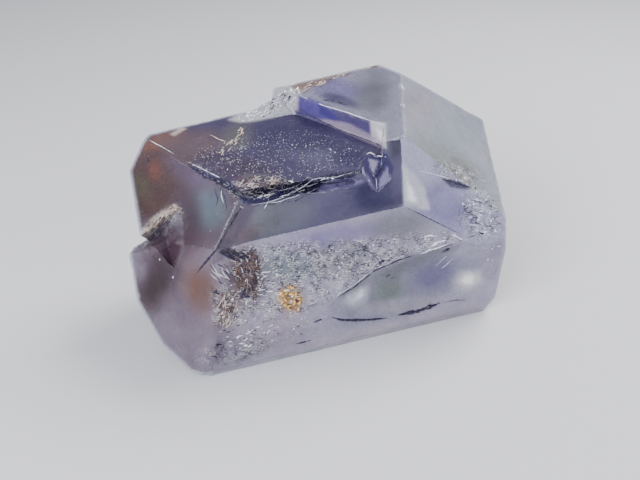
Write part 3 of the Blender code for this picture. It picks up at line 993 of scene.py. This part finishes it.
# Grains: (outline in the photograph, depth of the sheet, grains per square mm, size, flatness,
# further depth, material).
GRAINS = {
    "terrace_specks": ([(178, 154), (236, 136), (300, 128), (366, 142), (362, 162), (300, 178), (240, 188),
        (196, 170)], 0.0, 24.0, 0.04, 0.8, 0.02, "frost"),
    "terrace_sparks": ([(180, 156), (250, 146), (330, 140), (376, 150), (350, 168), (250, 184), (196, 168)],
        0.0, 1.6, 0.07, 0.7, 0.02, "frost"),
    "terrace_pits": ([(192, 154), (250, 136), (330, 134), (370, 146), (350, 168), (250, 184)], 0.0, 2.5,
        0.08, 0.6, 0.02, "shadow"),
    "terrace_end_sparks": ([(174, 152), (192, 158), (212, 170), (202, 172), (182, 162)], 0.0, 16.0, 0.07,
        0.7, 0.02, "frost"),
    "lens_grit": ([(232, 186), (244, 176), (270, 175), (288, 183), (262, 194), (244, 195)], 0.0, 14.0, 0.12,
        0.4, 0.02, "brown"),
    "lens_sparks": ([(234, 186), (250, 183), (262, 187), (258, 192), (244, 192)], 0.0, 24.0, 0.05, 0.5, 0.02,
        "frost"),
    # Dark flakes in the crevice, standing in for its shade.
    "crevice_shards": ([(238, 199), (256, 198), (284, 186), (318, 176), (362, 167), (363, 173), (320, 184),
        (296, 192), (268, 204), (244, 205)], -0.03, 20.0, 0.2, 0.22, 0.06, "ink"),
    "frosty_band": ([(264, 250), (276, 244), (300, 242), (345, 243), (380, 238), (408, 242), (396, 262),
        (360, 272), (330, 294), (296, 288), (268, 300)], -0.02, 6.0, 0.15, 0.22, 0.08, "frost"),
    "frosty_band_dark": ([(258, 246), (300, 242), (360, 242), (400, 242), (372, 272), (262, 296)], -0.02,
        6.0, 0.17, 0.22, 0.08, "shadow"),
    "frosty_deep": ([(246, 248), (300, 236), (404, 232), (404, 262), (330, 292), (246, 300)], 0.3, 4.0, 0.22,
        0.2, 1.0, "frost"),
    "brown_flakes": ([(230, 252), (246, 254), (257, 246), (263, 262), (260, 286), (254, 300), (240, 298),
        (234, 280), (238, 266)], -0.04, 14.0, 0.2, 0.14, 0.06, "brown"),
    "black_flakes": ([(217, 250), (226, 247), (238, 253), (252, 246), (259, 252), (257, 276), (250, 296),
        (240, 298), (244, 276), (236, 263)], -0.05, 8.0, 0.18, 0.14, 0.06, "shadow"),
    "brown_flakes_low": ([(206, 288), (222, 286), (240, 294), (236, 312), (224, 326), (216, 320),
        (218, 302)], -0.04, 16.0, 0.18, 0.14, 0.06, "brown"),
    "brown_flakes_pale": ([(212, 270), (218, 262), (234, 258), (252, 262), (264, 250), (268, 290),
        (252, 312), (232, 320), (218, 306)], -0.03, 3.0, 0.13, 0.18, 0.06, "frost"),
    "cream_flakes": ([(218, 302), (230, 298), (242, 308), (230, 326), (220, 330), (216, 316)], -0.04, 16.0,
        0.16, 0.16, 0.06, "cream"),
    "golden_grains": ([(278, 292), (286, 285), (297, 287), (304, 300), (299, 314), (286, 309), (277, 302)],
        -0.06, 40.0, 0.15, 0.7, 0.06, "golden"),
    "golden_pits": ([(284, 296), (294, 294), (302, 304), (294, 312), (284, 306)], -0.1, 14.0, 0.12, 0.7,
        0.04, "brown"),
    "golden_sparks": ([(280, 288), (294, 286), (301, 298), (288, 304)], -0.11, 12.0, 0.09, 0.7, 0.04,
        "frost"),
    "low_front_specks": ([(216, 300), (262, 298), (332, 290), (330, 322), (262, 350), (218, 362)], -0.02,
        4.0, 0.14, 0.3, 0.08, "frost"),
    "low_front_dark": ([(208, 336), (262, 330), (312, 322), (262, 352), (212, 364)], -0.02, 5.0, 0.15, 0.3,
        0.08, "shadow"),
    "low_front_white": ([(206, 350), (218, 338), (262, 334), (268, 352), (236, 362), (214, 364)], 0.0, 3.0,
        0.11, 0.3, 0.06, "frost"),
    "right_rim_scales": ([(458, 190), (474, 184), (494, 196), (504, 232), (486, 240), (468, 226)], 0.0, 8.0,
        0.18, 0.3, 0.06, "frost"),
    "right_rim_pits": ([(458, 190), (474, 184), (494, 196), (502, 230), (484, 238), (468, 226)], 0.0, 5.0,
        0.16, 0.3, 0.06, "shadow"),
    "shoulder_sparks": ([(438, 158), (470, 164), (490, 176), (478, 190), (448, 182)], 0.0, 4.0, 0.13, 0.4,
        0.05, "frost"),
    "shoulder_dirt": ([(438, 160), (470, 166), (490, 178), (476, 190), (450, 184)], 0.0, 3.5, 0.14, 0.4,
        0.05, "brown"),
    "back_rim_crumbs": ([(232, 119), (246, 110), (260, 100), (296, 84), (302, 90), (297, 110), (270, 118),
        (246, 124)], 0.0, 14.0, 0.17, 0.6, 0.06, "frost"),
    "crest_crumbs": ([(298, 90), (320, 77), (345, 66), (372, 61), (394, 68), (372, 70), (344, 76),
        (304, 94)], 0.0, 7.0, 0.18, 0.5, 0.06, "cream"),
    "notch_crumbs": ([(136, 238), (158, 214), (176, 202), (181, 210), (164, 226), (142, 244)], 0.0, 9.0,
        0.18, 0.6, 0.08, "cream"),
    "notch_pits": ([(146, 226), (160, 212), (174, 204), (178, 210), (160, 224), (148, 232)], 0.0, 9.0, 0.15,
        0.6, 0.08, "brown"),
    "streak_crumbs": ([(217, 154), (230, 141), (236, 131), (244, 122), (249, 126), (238, 141), (222, 157)],
        0.0, 30.0, 0.12, 0.6, 0.05, "cream"),
    "wedge_rust": ([(150, 162), (162, 164), (164, 178), (154, 182)], 0.05, 6.0, 0.12, 0.4, 0.2, "rust"),
    "wedge_grit": ([(140, 158), (166, 160), (170, 196), (146, 206), (134, 190)], 0.05, 2.5, 0.13, 0.4, 0.2,
        "brown"),
    "left_specks": ([(206, 196), (228, 216), (224, 240), (204, 240)], 0.0, 4.0, 0.09, 0.4, 0.05, "frost"),
    "notch_line_beads": ([(155, 254), (160, 256), (177, 276), (173, 281), (158, 262)], 0.0, 9.0, 0.13, 0.6,
        0.05, "frost"),
    "beads": ([(418, 250), (486, 229), (488, 236), (422, 256)], 0.0, 9.0, 0.13, 0.8, 0.04, "frost"),
    "crease_flakes": ([(418, 236), (446, 230), (466, 236), (440, 248), (420, 254)], 0.0, 7.0, 0.17, 0.2,
        0.05, "frost"),
    "rim_beads": ([(484, 250), (506, 238), (502, 262), (488, 286)], 0.0, 3.0, 0.12, 0.6, 0.05, "frost"),
    "back_rim_dirt": ([(232, 119), (246, 110), (260, 100), (296, 86), (300, 96), (290, 106), (264, 116),
        (246, 122)], 0.0, 7.0, 0.16, 0.4, 0.05, "shadow"),
    "terrace_left_specks": ([(184, 152), (236, 138), (280, 132), (286, 160), (250, 174), (206, 170)], 0.0,
        14.0, 0.045, 0.8, 0.02, "frost"),
}

# Threads: (pixels along it, depth, width, waver, material).
THREADS = {
    "needle_crack": ([(196, 274), (204, 264), (215, 251), (225, 234), (229, 227)], 0.0, 0.07, 0.02, "shadow"),
    "needle_tail": ([(226, 232), (230, 225), (234, 218), (238, 212), (243, 205)], -0.02, 0.06, 0.04,
        "shadow"),
    "crack_start": ([(313, 323), (317, 321), (322, 319)], 0.0, 0.09, 0.05, "shadow"),
    "crack_left": ([(331, 317), (342, 320), (363, 320), (388, 318)], 0.0, 0.12, 0.05, "shadow"),
    "crack_right": ([(398, 315), (418, 311), (440, 303)], 0.0, 0.15, 0.05, "shadow"),
    "crack_end": ([(438, 303), (456, 300), (474, 300)], 0.02, 0.05, 0.05, "shadow"),
    # Painted shade along the shell's upper lip, with a painted highlight just above it.
    "shell_rim_shade": ([(329, 308), (338, 297), (353, 288), (374, 271), (399, 260), (418, 254)], 0.02, 0.06,
        0.08, "shadow"),
    "shell_rim_upper_shade": ([(418, 254), (447, 246), (464, 239), (486, 232)], 0.02, 0.05, 0.1, "shadow"),
    "shell_rim_highlight": ([(330, 305), (339, 294), (354, 285), (375, 268)], 0.0, 0.016, 0.06, "frost"),
    "shell_line_one": ([(440, 270), (447, 264), (453, 258)], 0.0, 0.014, 0.04, "frost"),
    "shell_line_two": ([(436, 266), (443, 259), (448, 255)], 0.0, 0.012, 0.04, "frost"),
    "shell_dash_one": ([(386, 277), (391, 274)], 0.0, 0.06, 0.02, "shadow"),
    "shell_dash_two": ([(391, 279), (396, 276)], 0.0, 0.05, 0.02, "shadow"),
    "shell_dash_three": ([(441, 253), (450, 248)], 0.0, 0.08, 0.03, "shadow"),
    "flake_one": ([(424, 237), (430, 235), (434, 236)], -0.02, 0.09, 0.05, "frost"),
    "flake_two": ([(431, 246), (438, 242), (446, 240)], -0.02, 0.09, 0.05, "frost"),
    "flake_three": ([(420, 254), (434, 249), (448, 244)], -0.02, 0.05, 0.05, "frost"),
    "flake_four": ([(452, 234), (458, 237), (463, 240)], -0.02, 0.05, 0.05, "frost"),
    "feather_middle": ([(284, 190), (304, 184), (330, 179), (354, 173)], -0.08, 0.015, 0.35, "frost"),
    "feather_cross": ([(290, 195), (312, 181), (336, 178)], -0.08, 0.012, 0.25, "frost"),
    "feather_low": ([(262, 204), (281, 198), (297, 190), (319, 184), (346, 178)], -0.07, 0.017, 0.2, "frost"),
    "feather_hair": ([(250, 205), (276, 202), (296, 197), (320, 189)], -0.05, 0.011, 0.3, "frost"),
    "left_crease": ([(149, 140), (162, 147), (174, 154)], -0.01, 0.025, 0.06, "frost"),
    # Painted highlight on the terrace's left edge, and the painted shadow that the edge casts below it.
    "left_edge_highlight": ([(191, 164), (208, 172), (224, 180)], -0.02, 0.025, 0.08, "frost"),
    "left_edge_shadow": ([(190, 167), (209, 177), (225, 184), (237, 193), (247, 200)], 0.02, 0.2, 0.1,
        "shadow"),
    "hair_one": ([(219, 184), (225, 198), (227, 211)], 0.0, 0.035, 0.1, "shadow"),
    "hair_two": ([(214, 188), (218, 198), (216, 208)], 0.0, 0.03, 0.1, "shadow"),
    "hair_three": ([(222, 186), (221, 196), (224, 204)], 0.0, 0.03, 0.1, "frost"),
    "dash": ([(234, 203), (243, 208)], -0.01, 0.055, 0.02, "frost"),
    "fork_left": ([(264, 209), (267, 204), (269, 199)], 0.0, 0.024, 0.04, "frost"),
    "fork_right": ([(268, 202), (272, 201), (276, 205)], 0.0, 0.022, 0.04, "shadow"),
    "granular_branch": ([(210, 135), (218, 139), (226, 142)], 0.0, 0.035, 0.15, "cream"),
    "shoulder_dark": ([(442, 179), (455, 182), (471, 188)], 0.0, 0.09, 0.1, "shadow"),
    "shoulder_gold": ([(463, 178), (466, 180)], -0.02, 0.1, 0.02, "cream"),
    "shoulder_streak": ([(418, 171), (432, 174), (448, 178), (471, 186)], -0.01, 0.02, 0.08, "frost"),
    "comma": ([(379, 264), (381, 261), (385, 261)], 0.0, 0.1, 0.02, "shadow"),
    "hexagon": ([(352, 252), (362, 249), (374, 254), (372, 262), (360, 265), (352, 260), (352, 252)], 0.0,
        0.035, 0.06, "shadow"),
    "wedge_mark": ([(147, 158), (149, 161), (147, 163)], 0.0, 0.07, 0.02, "shadow"),
    "brown_crack_one": ([(219, 252), (227, 255), (236, 260)], 0.0, 0.11, 0.08, "shadow"),
    "brown_crack_two": ([(236, 260), (246, 256), (254, 246)], 0.0, 0.07, 0.15, "shadow"),
    "pale_crack_one": ([(213, 271), (222, 276), (229, 280)], 0.0, 0.035, 0.15, "frost"),
    "pale_crack_two": ([(216, 266), (226, 272), (232, 282)], 0.0, 0.03, 0.15, "shadow"),
    "dark_spot": ([(213, 290), (217, 293), (221, 293)], 0.08, 0.22, 0.04, "shadow"),
    "dark_spot_right": ([(241, 295), (246, 297), (250, 296)], 0.0, 0.14, 0.06, "shadow"),
    "black_dot": ([(299, 334), (303, 334)], 0.08, 0.18, 0.0, "shadow"),
    "low_dark_dash": ([(296, 344), (304, 342), (312, 340)], 0.0, 0.06, 0.06, "shadow"),
    "low_white_spot": ([(217, 344), (220, 344)], -0.01, 0.1, 0.0, "frost"),
    "chip_glint": ([(366, 155), (370, 153), (375, 155)], -0.03, 0.055, 0.03, "frost"),
    "chip_glint_right": ([(377, 156), (386, 157)], -0.02, 0.04, 0.03, "frost"),
    # Painted highlights along the chip's edges, and painted shade in its groove.
    "chip_left_edge_highlight": ([(362, 169), (369, 181), (377, 192)], -0.01, 0.01, 0.01, "frost"),
    "chip_right_edge_highlight": ([(377, 192), (384, 186), (390, 180)], -0.01, 0.01, 0.01, "frost"),
    "chip_ridge_highlight": ([(377, 190), (376, 178), (372, 174)], -0.01, 0.01, 0.01, "frost"),
    "chip_groove_shade": ([(386, 161), (380, 170), (376, 178), (372, 172)], -0.01, 0.05, 0.02, "shadow"),
    # Painted shade in the crease at the step's foot, and a painted highlight along its brow.
    "step_foot_shade": ([(299, 109), (303, 111), (308, 114), (312, 116), (316, 118), (323, 122), (330, 125),
        (338, 129), (345, 132), (353, 135), (361, 138), (369, 141), (377, 144), (384, 147)], 0.0, 0.035,
        0.04, "shadow"),
    "step_brow_highlight": ([(298, 95), (322, 105), (345, 112), (380, 124)], -0.01, 0.03, 0.04, "frost"),
    "roof_crack": ([(322, 100), (334, 101), (348, 105)], 0.0, 0.07, 0.06, "shadow"),
    "slope_foot": ([(406, 207), (430, 219), (466, 237)], 0.0, 0.03, 0.03, "shadow"),
}

# Strokes: (outline in the photograph, number, their direction and how much it varies in degrees,
# length in pixels, width, material). The direction is 0 to the right and 90 upwards.
STROKES = {
    "brown_strokes": ([(236, 258), (256, 252), (260, 262), (258, 296), (242, 298), (236, 280)], 60, 84, 34,
        9, 0.036, "brown"),
    "black_strokes": ([(232, 252), (256, 247), (260, 258), (256, 292), (242, 296), (238, 266)], 44, 80, 46,
        7, 0.036, "shadow"),
    "black_wedge_strokes": ([(220, 250), (230, 247), (246, 252), (250, 258), (236, 261)], 9, -20, 25, 10,
        0.06, "shadow"),
    "pale_fan": ([(212, 268), (232, 262), (238, 284), (216, 284)], 9, -42, 22, 12, 0.02, "frost"),
    "dark_fan": ([(212, 268), (232, 262), (238, 284), (216, 284)], 11, -42, 22, 12, 0.022, "shadow"),
    "cream_fibres": ([(214, 298), (234, 296), (240, 308), (232, 326), (218, 328)], 24, 74, 26, 9, 0.03,
        "cream"),
    "brown_fibres": ([(214, 296), (234, 292), (240, 306), (230, 324), (218, 324)], 34, 76, 28, 8, 0.032,
        "brown"),
    "pale_block_fibres": ([(234, 252), (262, 250), (264, 296), (236, 298)], 12, 82, 30, 8, 0.024, "frost"),
    "middle_dashes": ([(258, 268), (284, 266), (282, 306), (256, 304)], 18, 4, 12, 7, 0.026, "frost"),
    "middle_dark_dashes": ([(258, 268), (284, 266), (282, 306), (256, 304)], 14, 6, 14, 6, 0.035, "shadow"),
    "lens_hairs": ([(236, 184), (250, 177), (270, 176), (286, 184), (264, 192), (246, 195)], 26, 24, 40, 9,
        0.022, "cream"),
    "lens_dark_hairs": ([(236, 184), (250, 177), (270, 176), (286, 184), (264, 192), (246, 195)], 22, 30, 40,
        8, 0.025, "shadow"),
    "crevice_hairs": ([(252, 199), (284, 188), (318, 179), (352, 171), (352, 176), (318, 186), (284, 198),
        (256, 206)], 18, 20, 12, 16, 0.018, "frost"),
    "crevice_dark_hairs": ([(252, 200), (284, 192), (318, 184), (330, 184), (318, 192), (284, 206),
        (256, 210)], 22, 14, 26, 8, 0.025, "shadow"),
    "right_rim_dashes": ([(462, 196), (484, 200), (500, 214), (500, 236), (478, 236), (462, 218)], 30, -12,
        24, 7, 0.028, "frost"),
    "right_rim_dark_dashes": ([(462, 196), (484, 200), (500, 214), (500, 236), (478, 236), (462, 218)], 24,
        -14, 24, 6, 0.026, "shadow"),
    "notch_scratches": ([(138, 236), (158, 214), (176, 204), (180, 209), (164, 224), (142, 242)], 30, 52, 16,
        6, 0.035, "brown"),
    "back_rim_lines": ([(236, 118), (250, 106), (270, 94), (296, 86), (300, 96), (280, 110), (254, 120)], 22,
        34, 24, 8, 0.03, "frost"),
    "back_rim_dark_lines": ([(236, 118), (250, 106), (270, 94), (296, 86), (300, 96), (280, 110),
        (254, 120)], 16, 34, 24, 7, 0.035, "shadow"),
    "crest_lines": ([(300, 88), (322, 77), (348, 66), (374, 61), (376, 67), (346, 74), (306, 92)], 30, 26,
        12, 9, 0.035, "cream"),
    "crest_dark_lines": ([(300, 90), (322, 79), (348, 68), (374, 63), (376, 69), (346, 76), (306, 94)], 14,
        24, 12, 8, 0.04, "brown"),
    "low_front_strokes": ([(206, 346), (222, 330), (262, 318), (284, 322), (266, 346), (234, 360),
        (212, 362)], 26, 18, 30, 7, 0.035, "shadow"),
    "low_front_glints": ([(216, 338), (262, 322), (284, 326), (262, 346), (226, 356)], 20, 24, 30, 6, 0.035,
        "frost"),
    "streak_lines": ([(216, 155), (232, 140), (238, 130), (246, 124), (248, 128), (238, 142), (222, 157)],
        18, 50, 12, 6, 0.03, "cream"),
    "shoulder_lines": ([(440, 160), (474, 168), (486, 180), (470, 186), (446, 178)], 16, -24, 20, 7, 0.026,
        "frost"),
}

# Strokes lie between these depths. They reach this share of their length to each side, and bow
# sideways by up to this share of their reach.
STROKE_SEED = 11
STROKE_DEPTHS = (-0.03, 0.02)
STROKE_REACHES = (0.25, 0.6)
STROKE_BOW = 0.15
STROKE_WAVER = 0.06

# Veils: (outline in the photograph, depth, waviness, colour, thinnest, densest, width of the
# soft border).
# Veils of negative depth sit just proud of the surface, as painted reflections or painted shade.
VEILS = {
    "front_veil": ([(217, 258), (250, 252), (404, 216), (460, 244), (484, 262), (486, 306), (330, 350),
        (216, 374)], 1.6, 0.6, (236, 232, 246), 0.3, 0.75, 1.4),
    "left_veil": ([(136, 262), (176, 222), (212, 244), (210, 374), (186, 366), (144, 322)], 1.6, 0.5,
        (178, 154, 168), 0.3, 0.75, 1.4),
    "shoulder_veil": ([(408, 84), (478, 122), (496, 200), (468, 186), (412, 164)], 1.6, 0.5, (230, 234, 240),
        0.3, 0.75, 1.4),
    "slope_veil": ([(410, 176), (470, 196), (498, 220), (464, 236), (410, 206)], 1.2, 0.4, (240, 236, 252),
        0.3, 0.6, 1.2),
    "violet_zone": ([(196, 160), (240, 132), (290, 116), (380, 148), (376, 166), (300, 176), (240, 186)],
        0.7, 0.2, (48, 40, 88), 0.3, 0.8, 1.2),
    # Painted reflections: white sheets where facets and cleavages mirror light.
    "triangle_reflection": ([(403, 170), (410, 175), (417, 187), (423, 206), (417, 209), (403, 205)], -0.02, 0.0,
        (240, 244, 255), 0.85, 1.0, 0.5),
    "step_reflection": ([(372, 127), (378, 124), (385, 128), (384, 146), (376, 142)], -0.02, 0.0, (255, 250, 255),
        0.7, 1.0, 0.25),
    "shell_reflection_left": ([(344, 303), (352, 292), (362, 284), (370, 288), (366, 300), (354, 308)], -0.02,
        0.0, (236, 240, 255), 0.7, 1.0, 0.6),
    "shell_reflection_right": ([(452, 282), (460, 272), (474, 268), (484, 276), (476, 288), (462, 290)], -0.02,
        0.0, (255, 255, 255), 0.8, 1.0, 0.7),
    "crease_shade": ([(236, 199), (250, 203), (243, 214), (224, 244), (214, 253), (215, 241), (227, 219)],
        -0.015, 0.0, (94, 84, 98), 0.8, 1.0, 0.25),
}

# A deep veil stays this far under the surface. Veils' waves are this long, and their clouds this
# much darker.
VEIL_SEED = 5
VEIL_SKIN = 0.2
VEIL_WAVE = 2.5
VEIL_SHADE = 0.86
# The milky sheet over the resting face is painted light: its colour, densities, rise and share of the face.
MILKY_LIFT_COLOUR = (244, 240, 250)
MILKY_BASE_DENSITIES = (0.3, 0.95)
MILKY_BASE_RISE = 0.35
MILKY_BASE_SHARE = 0.95


def milky_light_lift():
    """Lay a milky sheet just above the resting face, where light that falls through is caught; it is painted
    light that lifts the shade of the underside.
    """
    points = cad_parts[CRYSTAL_NODE].data.vertices
    corners = [point.co.copy() for point in points if point.co.z < 0.01 * MM]
    middle = (Vector((min(c.x for c in corners), min(c.y for c in corners), 0.0))
              + Vector((max(c.x for c in corners), max(c.y for c in corners), 0.0))) / 2.0
    corners.sort(key=lambda corner: math.atan2(corner.y - middle.y, corner.x - middle.x))
    rise = Vector((0.0, 0.0, MILKY_BASE_RISE * MM))
    places = [middle + (corner - middle) * MILKY_BASE_SHARE + rise for corner in corners]
    sheet = bpy.data.meshes.new("milky_light_lift")
    sheet.from_pydata(places, [], [list(range(len(places)))])
    add_attribute(sheet, "fade", "FLOAT", "POINT", np.ones(len(places)))
    return sheet


def veil_material(mottle, name, colour, thinnest, densest):
    """A milky veil, clouded between its thinnest and its densest; the same makes the sheets of painted
    reflection and painted shade.
    """
    shade = tuple(tone * VEIL_SHADE for tone in colour)
    material = mineral_material(mottle, name, colour, shade, 500.0, 0.55)
    tree = material.node_tree
    place = add_node(tree, "ShaderNodeTexCoord")["Object"]
    clouds = add_node(tree, "ShaderNodeTexNoise", {"Vector": place, "Scale": 420.0, "Detail": 3.0})["Fac"]
    border = add_node(tree, "ShaderNodeAttribute", attribute_name="fade")["Fac"]
    faded = product(tree, ranged(tree, clouds, 0.30, 0.70, thinnest, densest), border)
    set_inputs(tree, tree.nodes["Principled BSDF"], {"Alpha": faded})
    return material


def border_fade(sheet, width):
    """Return 0 at each point of a sheet's border, rising to 1 well inside it."""
    shape = bmesh.new()
    shape.from_mesh(sheet)
    border = [point for point in shape.verts if any(len(edge.link_faces) == 1 for edge in point.link_edges)]
    tree = KDTree(len(border))
    for point in border:
        tree.insert(point.co, point.index)
    tree.balance()
    gaps = np.array([tree.find(point.co)[2] for point in shape.verts]) / MM
    shape.free()
    return smooth_rise(gaps, 0.0, min(width, 0.9 * gaps.max()))


def trim_outside(sheet, solid, skin):
    """Take away what comes out of the crystal, or closer to its surface than the skin."""
    shape = bmesh.new()
    shape.from_mesh(sheet)
    outside = []
    for point in shape.verts:
        nearest, normal = solid.find_nearest(point.co / MM)[:2]
        if (point.co / MM - nearest).dot(normal) > -skin:
            outside.append(point)
    bmesh.ops.delete(shape, geom=outside, context="VERTS")
    shape.to_mesh(sheet)
    shape.free()


def milky_veils(sight, mottle):
    """Hang the milky veils a little way under the facets, and the sheets of painted reflection and painted
    shade just proud of them.
    """
    noise.seed_set(VEIL_SEED)
    for name, (outline, depth, waviness, colour, thinnest, densest, border) in VEILS.items():
        sheet = draped_sheet(name, sight, outline, depth)
        for point in sheet.vertices:
            point.co += noise.noise_vector(point.co / MM / VEIL_WAVE) * waviness * MM
        if depth > 0.0:
            trim_outside(sheet, sight[1], VEIL_SKIN)
        add_attribute(sheet, "fade", "FLOAT", "POINT", border_fade(sheet, border))
        sheet.materials.append(veil_material(mottle, name, colour, thinnest, densest))
        sealed_piece(name, sheet)
    base = milky_light_lift()
    base.materials.append(veil_material(mottle, "milky_light_lift", MILKY_LIFT_COLOUR, *MILKY_BASE_DENSITIES))
    sealed_piece("milky_light_lift", base)


# What cracks, stains and crumbs are made of, and the painted highlights and painted shade: material
# name, its two colours, cloud size and roughness.
STUFFS = {
    "frost": ("frost", (252, 252, 255), (226, 226, 244), 2600.0, 0.25),
    "cream": ("cream_rind", (226, 212, 196), (178, 158, 150), 2600.0, 0.45),
    "shadow": ("open_crack_and_shade", (18, 16, 34), (48, 42, 76), 2200.0, 0.3),
    "brown": ("brown_flakes", (52, 34, 34), (112, 84, 76), 2400.0, 0.30),
    "ink": ("crevice_shade_flakes", (16, 13, 44), (50, 42, 92), 2200.0, 0.3),
    "golden": ("golden_stain", (250, 212, 130), (200, 138, 66), 3600.0, 0.3),
    "rust": ("rust", (150, 76, 52), (96, 52, 44), 2400.0, 0.45),
}


def sealed_features(sight, mottle):
    """Make the cracks, stains, specks and crumbs that the crystal holds, with painted highlights and painted
    shade along some edges and in the crevice.
    """
    stuffs = {stuff: mineral_material(mottle, *values) for stuff, values in STUFFS.items()}
    grains = grains_tree()
    for seed, (name, values) in enumerate(GRAINS.items()):
        outline, depth, density, size, flatness, further, stuff = values
        sheet = draped_sheet(name, sight, outline, depth)
        settings = {"Density": density / MM / MM, "Size": size * MM, "Flatness": flatness,
                    "Depth": -further * MM, "Seed": seed, "Material": stuffs[stuff]}
        sealed_piece(name, grown_mesh(name, sheet, grains, settings))
    threads = thread_tree()
    for seed, (name, (pixels, depth, width, waver, stuff)) in enumerate(THREADS.items()):
        places = [seen_place(sight, pixel, depth) * MM for pixel in pixels]
        steps = [(start, start + 1) for start in range(len(places) - 1)]
        grow_threads(name, (places, steps), threads, width, waver, float(seed), stuffs[stuff])
    rng = np.random.default_rng(STROKE_SEED)
    for seed, (name, values) in enumerate(STROKES.items()):
        line = strokes_line(sight, values[:5], rng)
        grow_threads(name, line, threads, values[5], STROKE_WAVER, 0.37 * seed, stuffs[values[6]])


def grow_threads(name, line, tree, width, waver, seed, material):
    """Grow threads along a line of places and steps, as one piece."""
    mesh = bpy.data.meshes.new(name)
    mesh.from_pydata(*line, [])
    settings = {"Width": width * MM, "Waver": waver * MM, "Seed": seed, "Material": material}
    sealed_piece(name, grown_mesh(name, mesh, tree, settings))


def strokes_line(sight, values, rng):
    """Strew short strokes over the part of the surface inside an outline, as places and steps."""
    outline, number, direction, spread, length = values
    low = np.min(outline, axis=0)
    high = np.max(outline, axis=0)
    places, steps = [], []
    while number > 0:
        middle = rng.uniform(low, high)
        if not inside_outline(middle, outline):
            continue
        number -= 1
        angle = math.radians(direction + rng.uniform(-spread, spread))
        reach = length * rng.uniform(*STROKE_REACHES)
        bow = rng.uniform(-STROKE_BOW, STROKE_BOW) * reach
        along = np.array((math.cos(angle), -math.sin(angle)))
        aside = np.array((along[1], -along[0]))
        depth = rng.uniform(*STROKE_DEPTHS)
        row = [seen_place(sight, middle + along * share * reach + aside * bow * (1.0 - share * share), depth)
               for share in (-1.0, 0.0, 1.0)]
        if None not in row:
            steps += [(len(places), len(places) + 1), (len(places) + 1, len(places) + 2)]
            places += [place * MM for place in row]
    return places, steps


# Soft square lamps, as (place, power, colour). They face the crystal's middle.
LAMPS = {
    "key": ((60.0, 40.0, 100.0), 0.18, (1.0, 0.99, 0.97)),
    "left fill": ((-60.0, -80.0, 70.0), 0.19, (0.97, 0.98, 1.0)),
}
LAMP_SIZE = 70.0
CRYSTAL_MIDDLE = Vector((0.0, 0.0, 6.0))
STUDIO_COLOUR = (0.64, 0.66, 0.72, 1.0)
STUDIO_LIGHT = 0.9
FLOOR_COLOUR = (0.62, 0.62, 0.64, 1.0)
FLOOR_HALF = 1000.0


def studio():
    """Set the camera, the soft light and the pale floor."""
    data = bpy.data.cameras.new("camera")
    data.sensor_width = SENSOR_MM
    data.lens = SENSOR_MM * FOCAL_PIXELS / PHOTO_WIDTH
    data.clip_start = MM
    camera = linked_object("camera", data)
    camera.location = EYE * MM
    camera.rotation_euler = (math.pi / 2 - PITCH, 0.0, 0.0)
    bpy.context.scene.camera = camera
    world = bpy.data.worlds.new("studio")
    world.use_nodes = True
    sky = {"Color": STUDIO_COLOUR, "Strength": STUDIO_LIGHT}
    set_inputs(world.node_tree, world.node_tree.nodes["Background"], sky)
    bpy.context.scene.world = world
    for name, (place, power, colour) in LAMPS.items():
        data = bpy.data.lights.new(name, "AREA")
        data.energy = power
        data.size = LAMP_SIZE * MM
        data.color = colour
        lamp = linked_object(name, data)
        lamp.location = Vector(place) * MM
        lamp.rotation_euler = (CRYSTAL_MIDDLE * MM - lamp.location).to_track_quat("-Z", "Y").to_euler()
    half = FLOOR_HALF * MM
    mesh = bpy.data.meshes.new("floor")
    corners = [(-half, -half, 0), (half, -half, 0), (half, half, 0), (-half, half, 0)]
    mesh.from_pydata(corners, [], [(0, 1, 2, 3)])
    mesh.materials.append(new_material("pale_floor", {"Base Color": FLOOR_COLOUR, "Roughness": 0.7})[0])
    linked_object("floor", mesh)


studio()
mottle = mottle_group()
sight = finished_crystal(mottle)
milky_veils(sight, mottle)
sealed_features(sight, mottle)
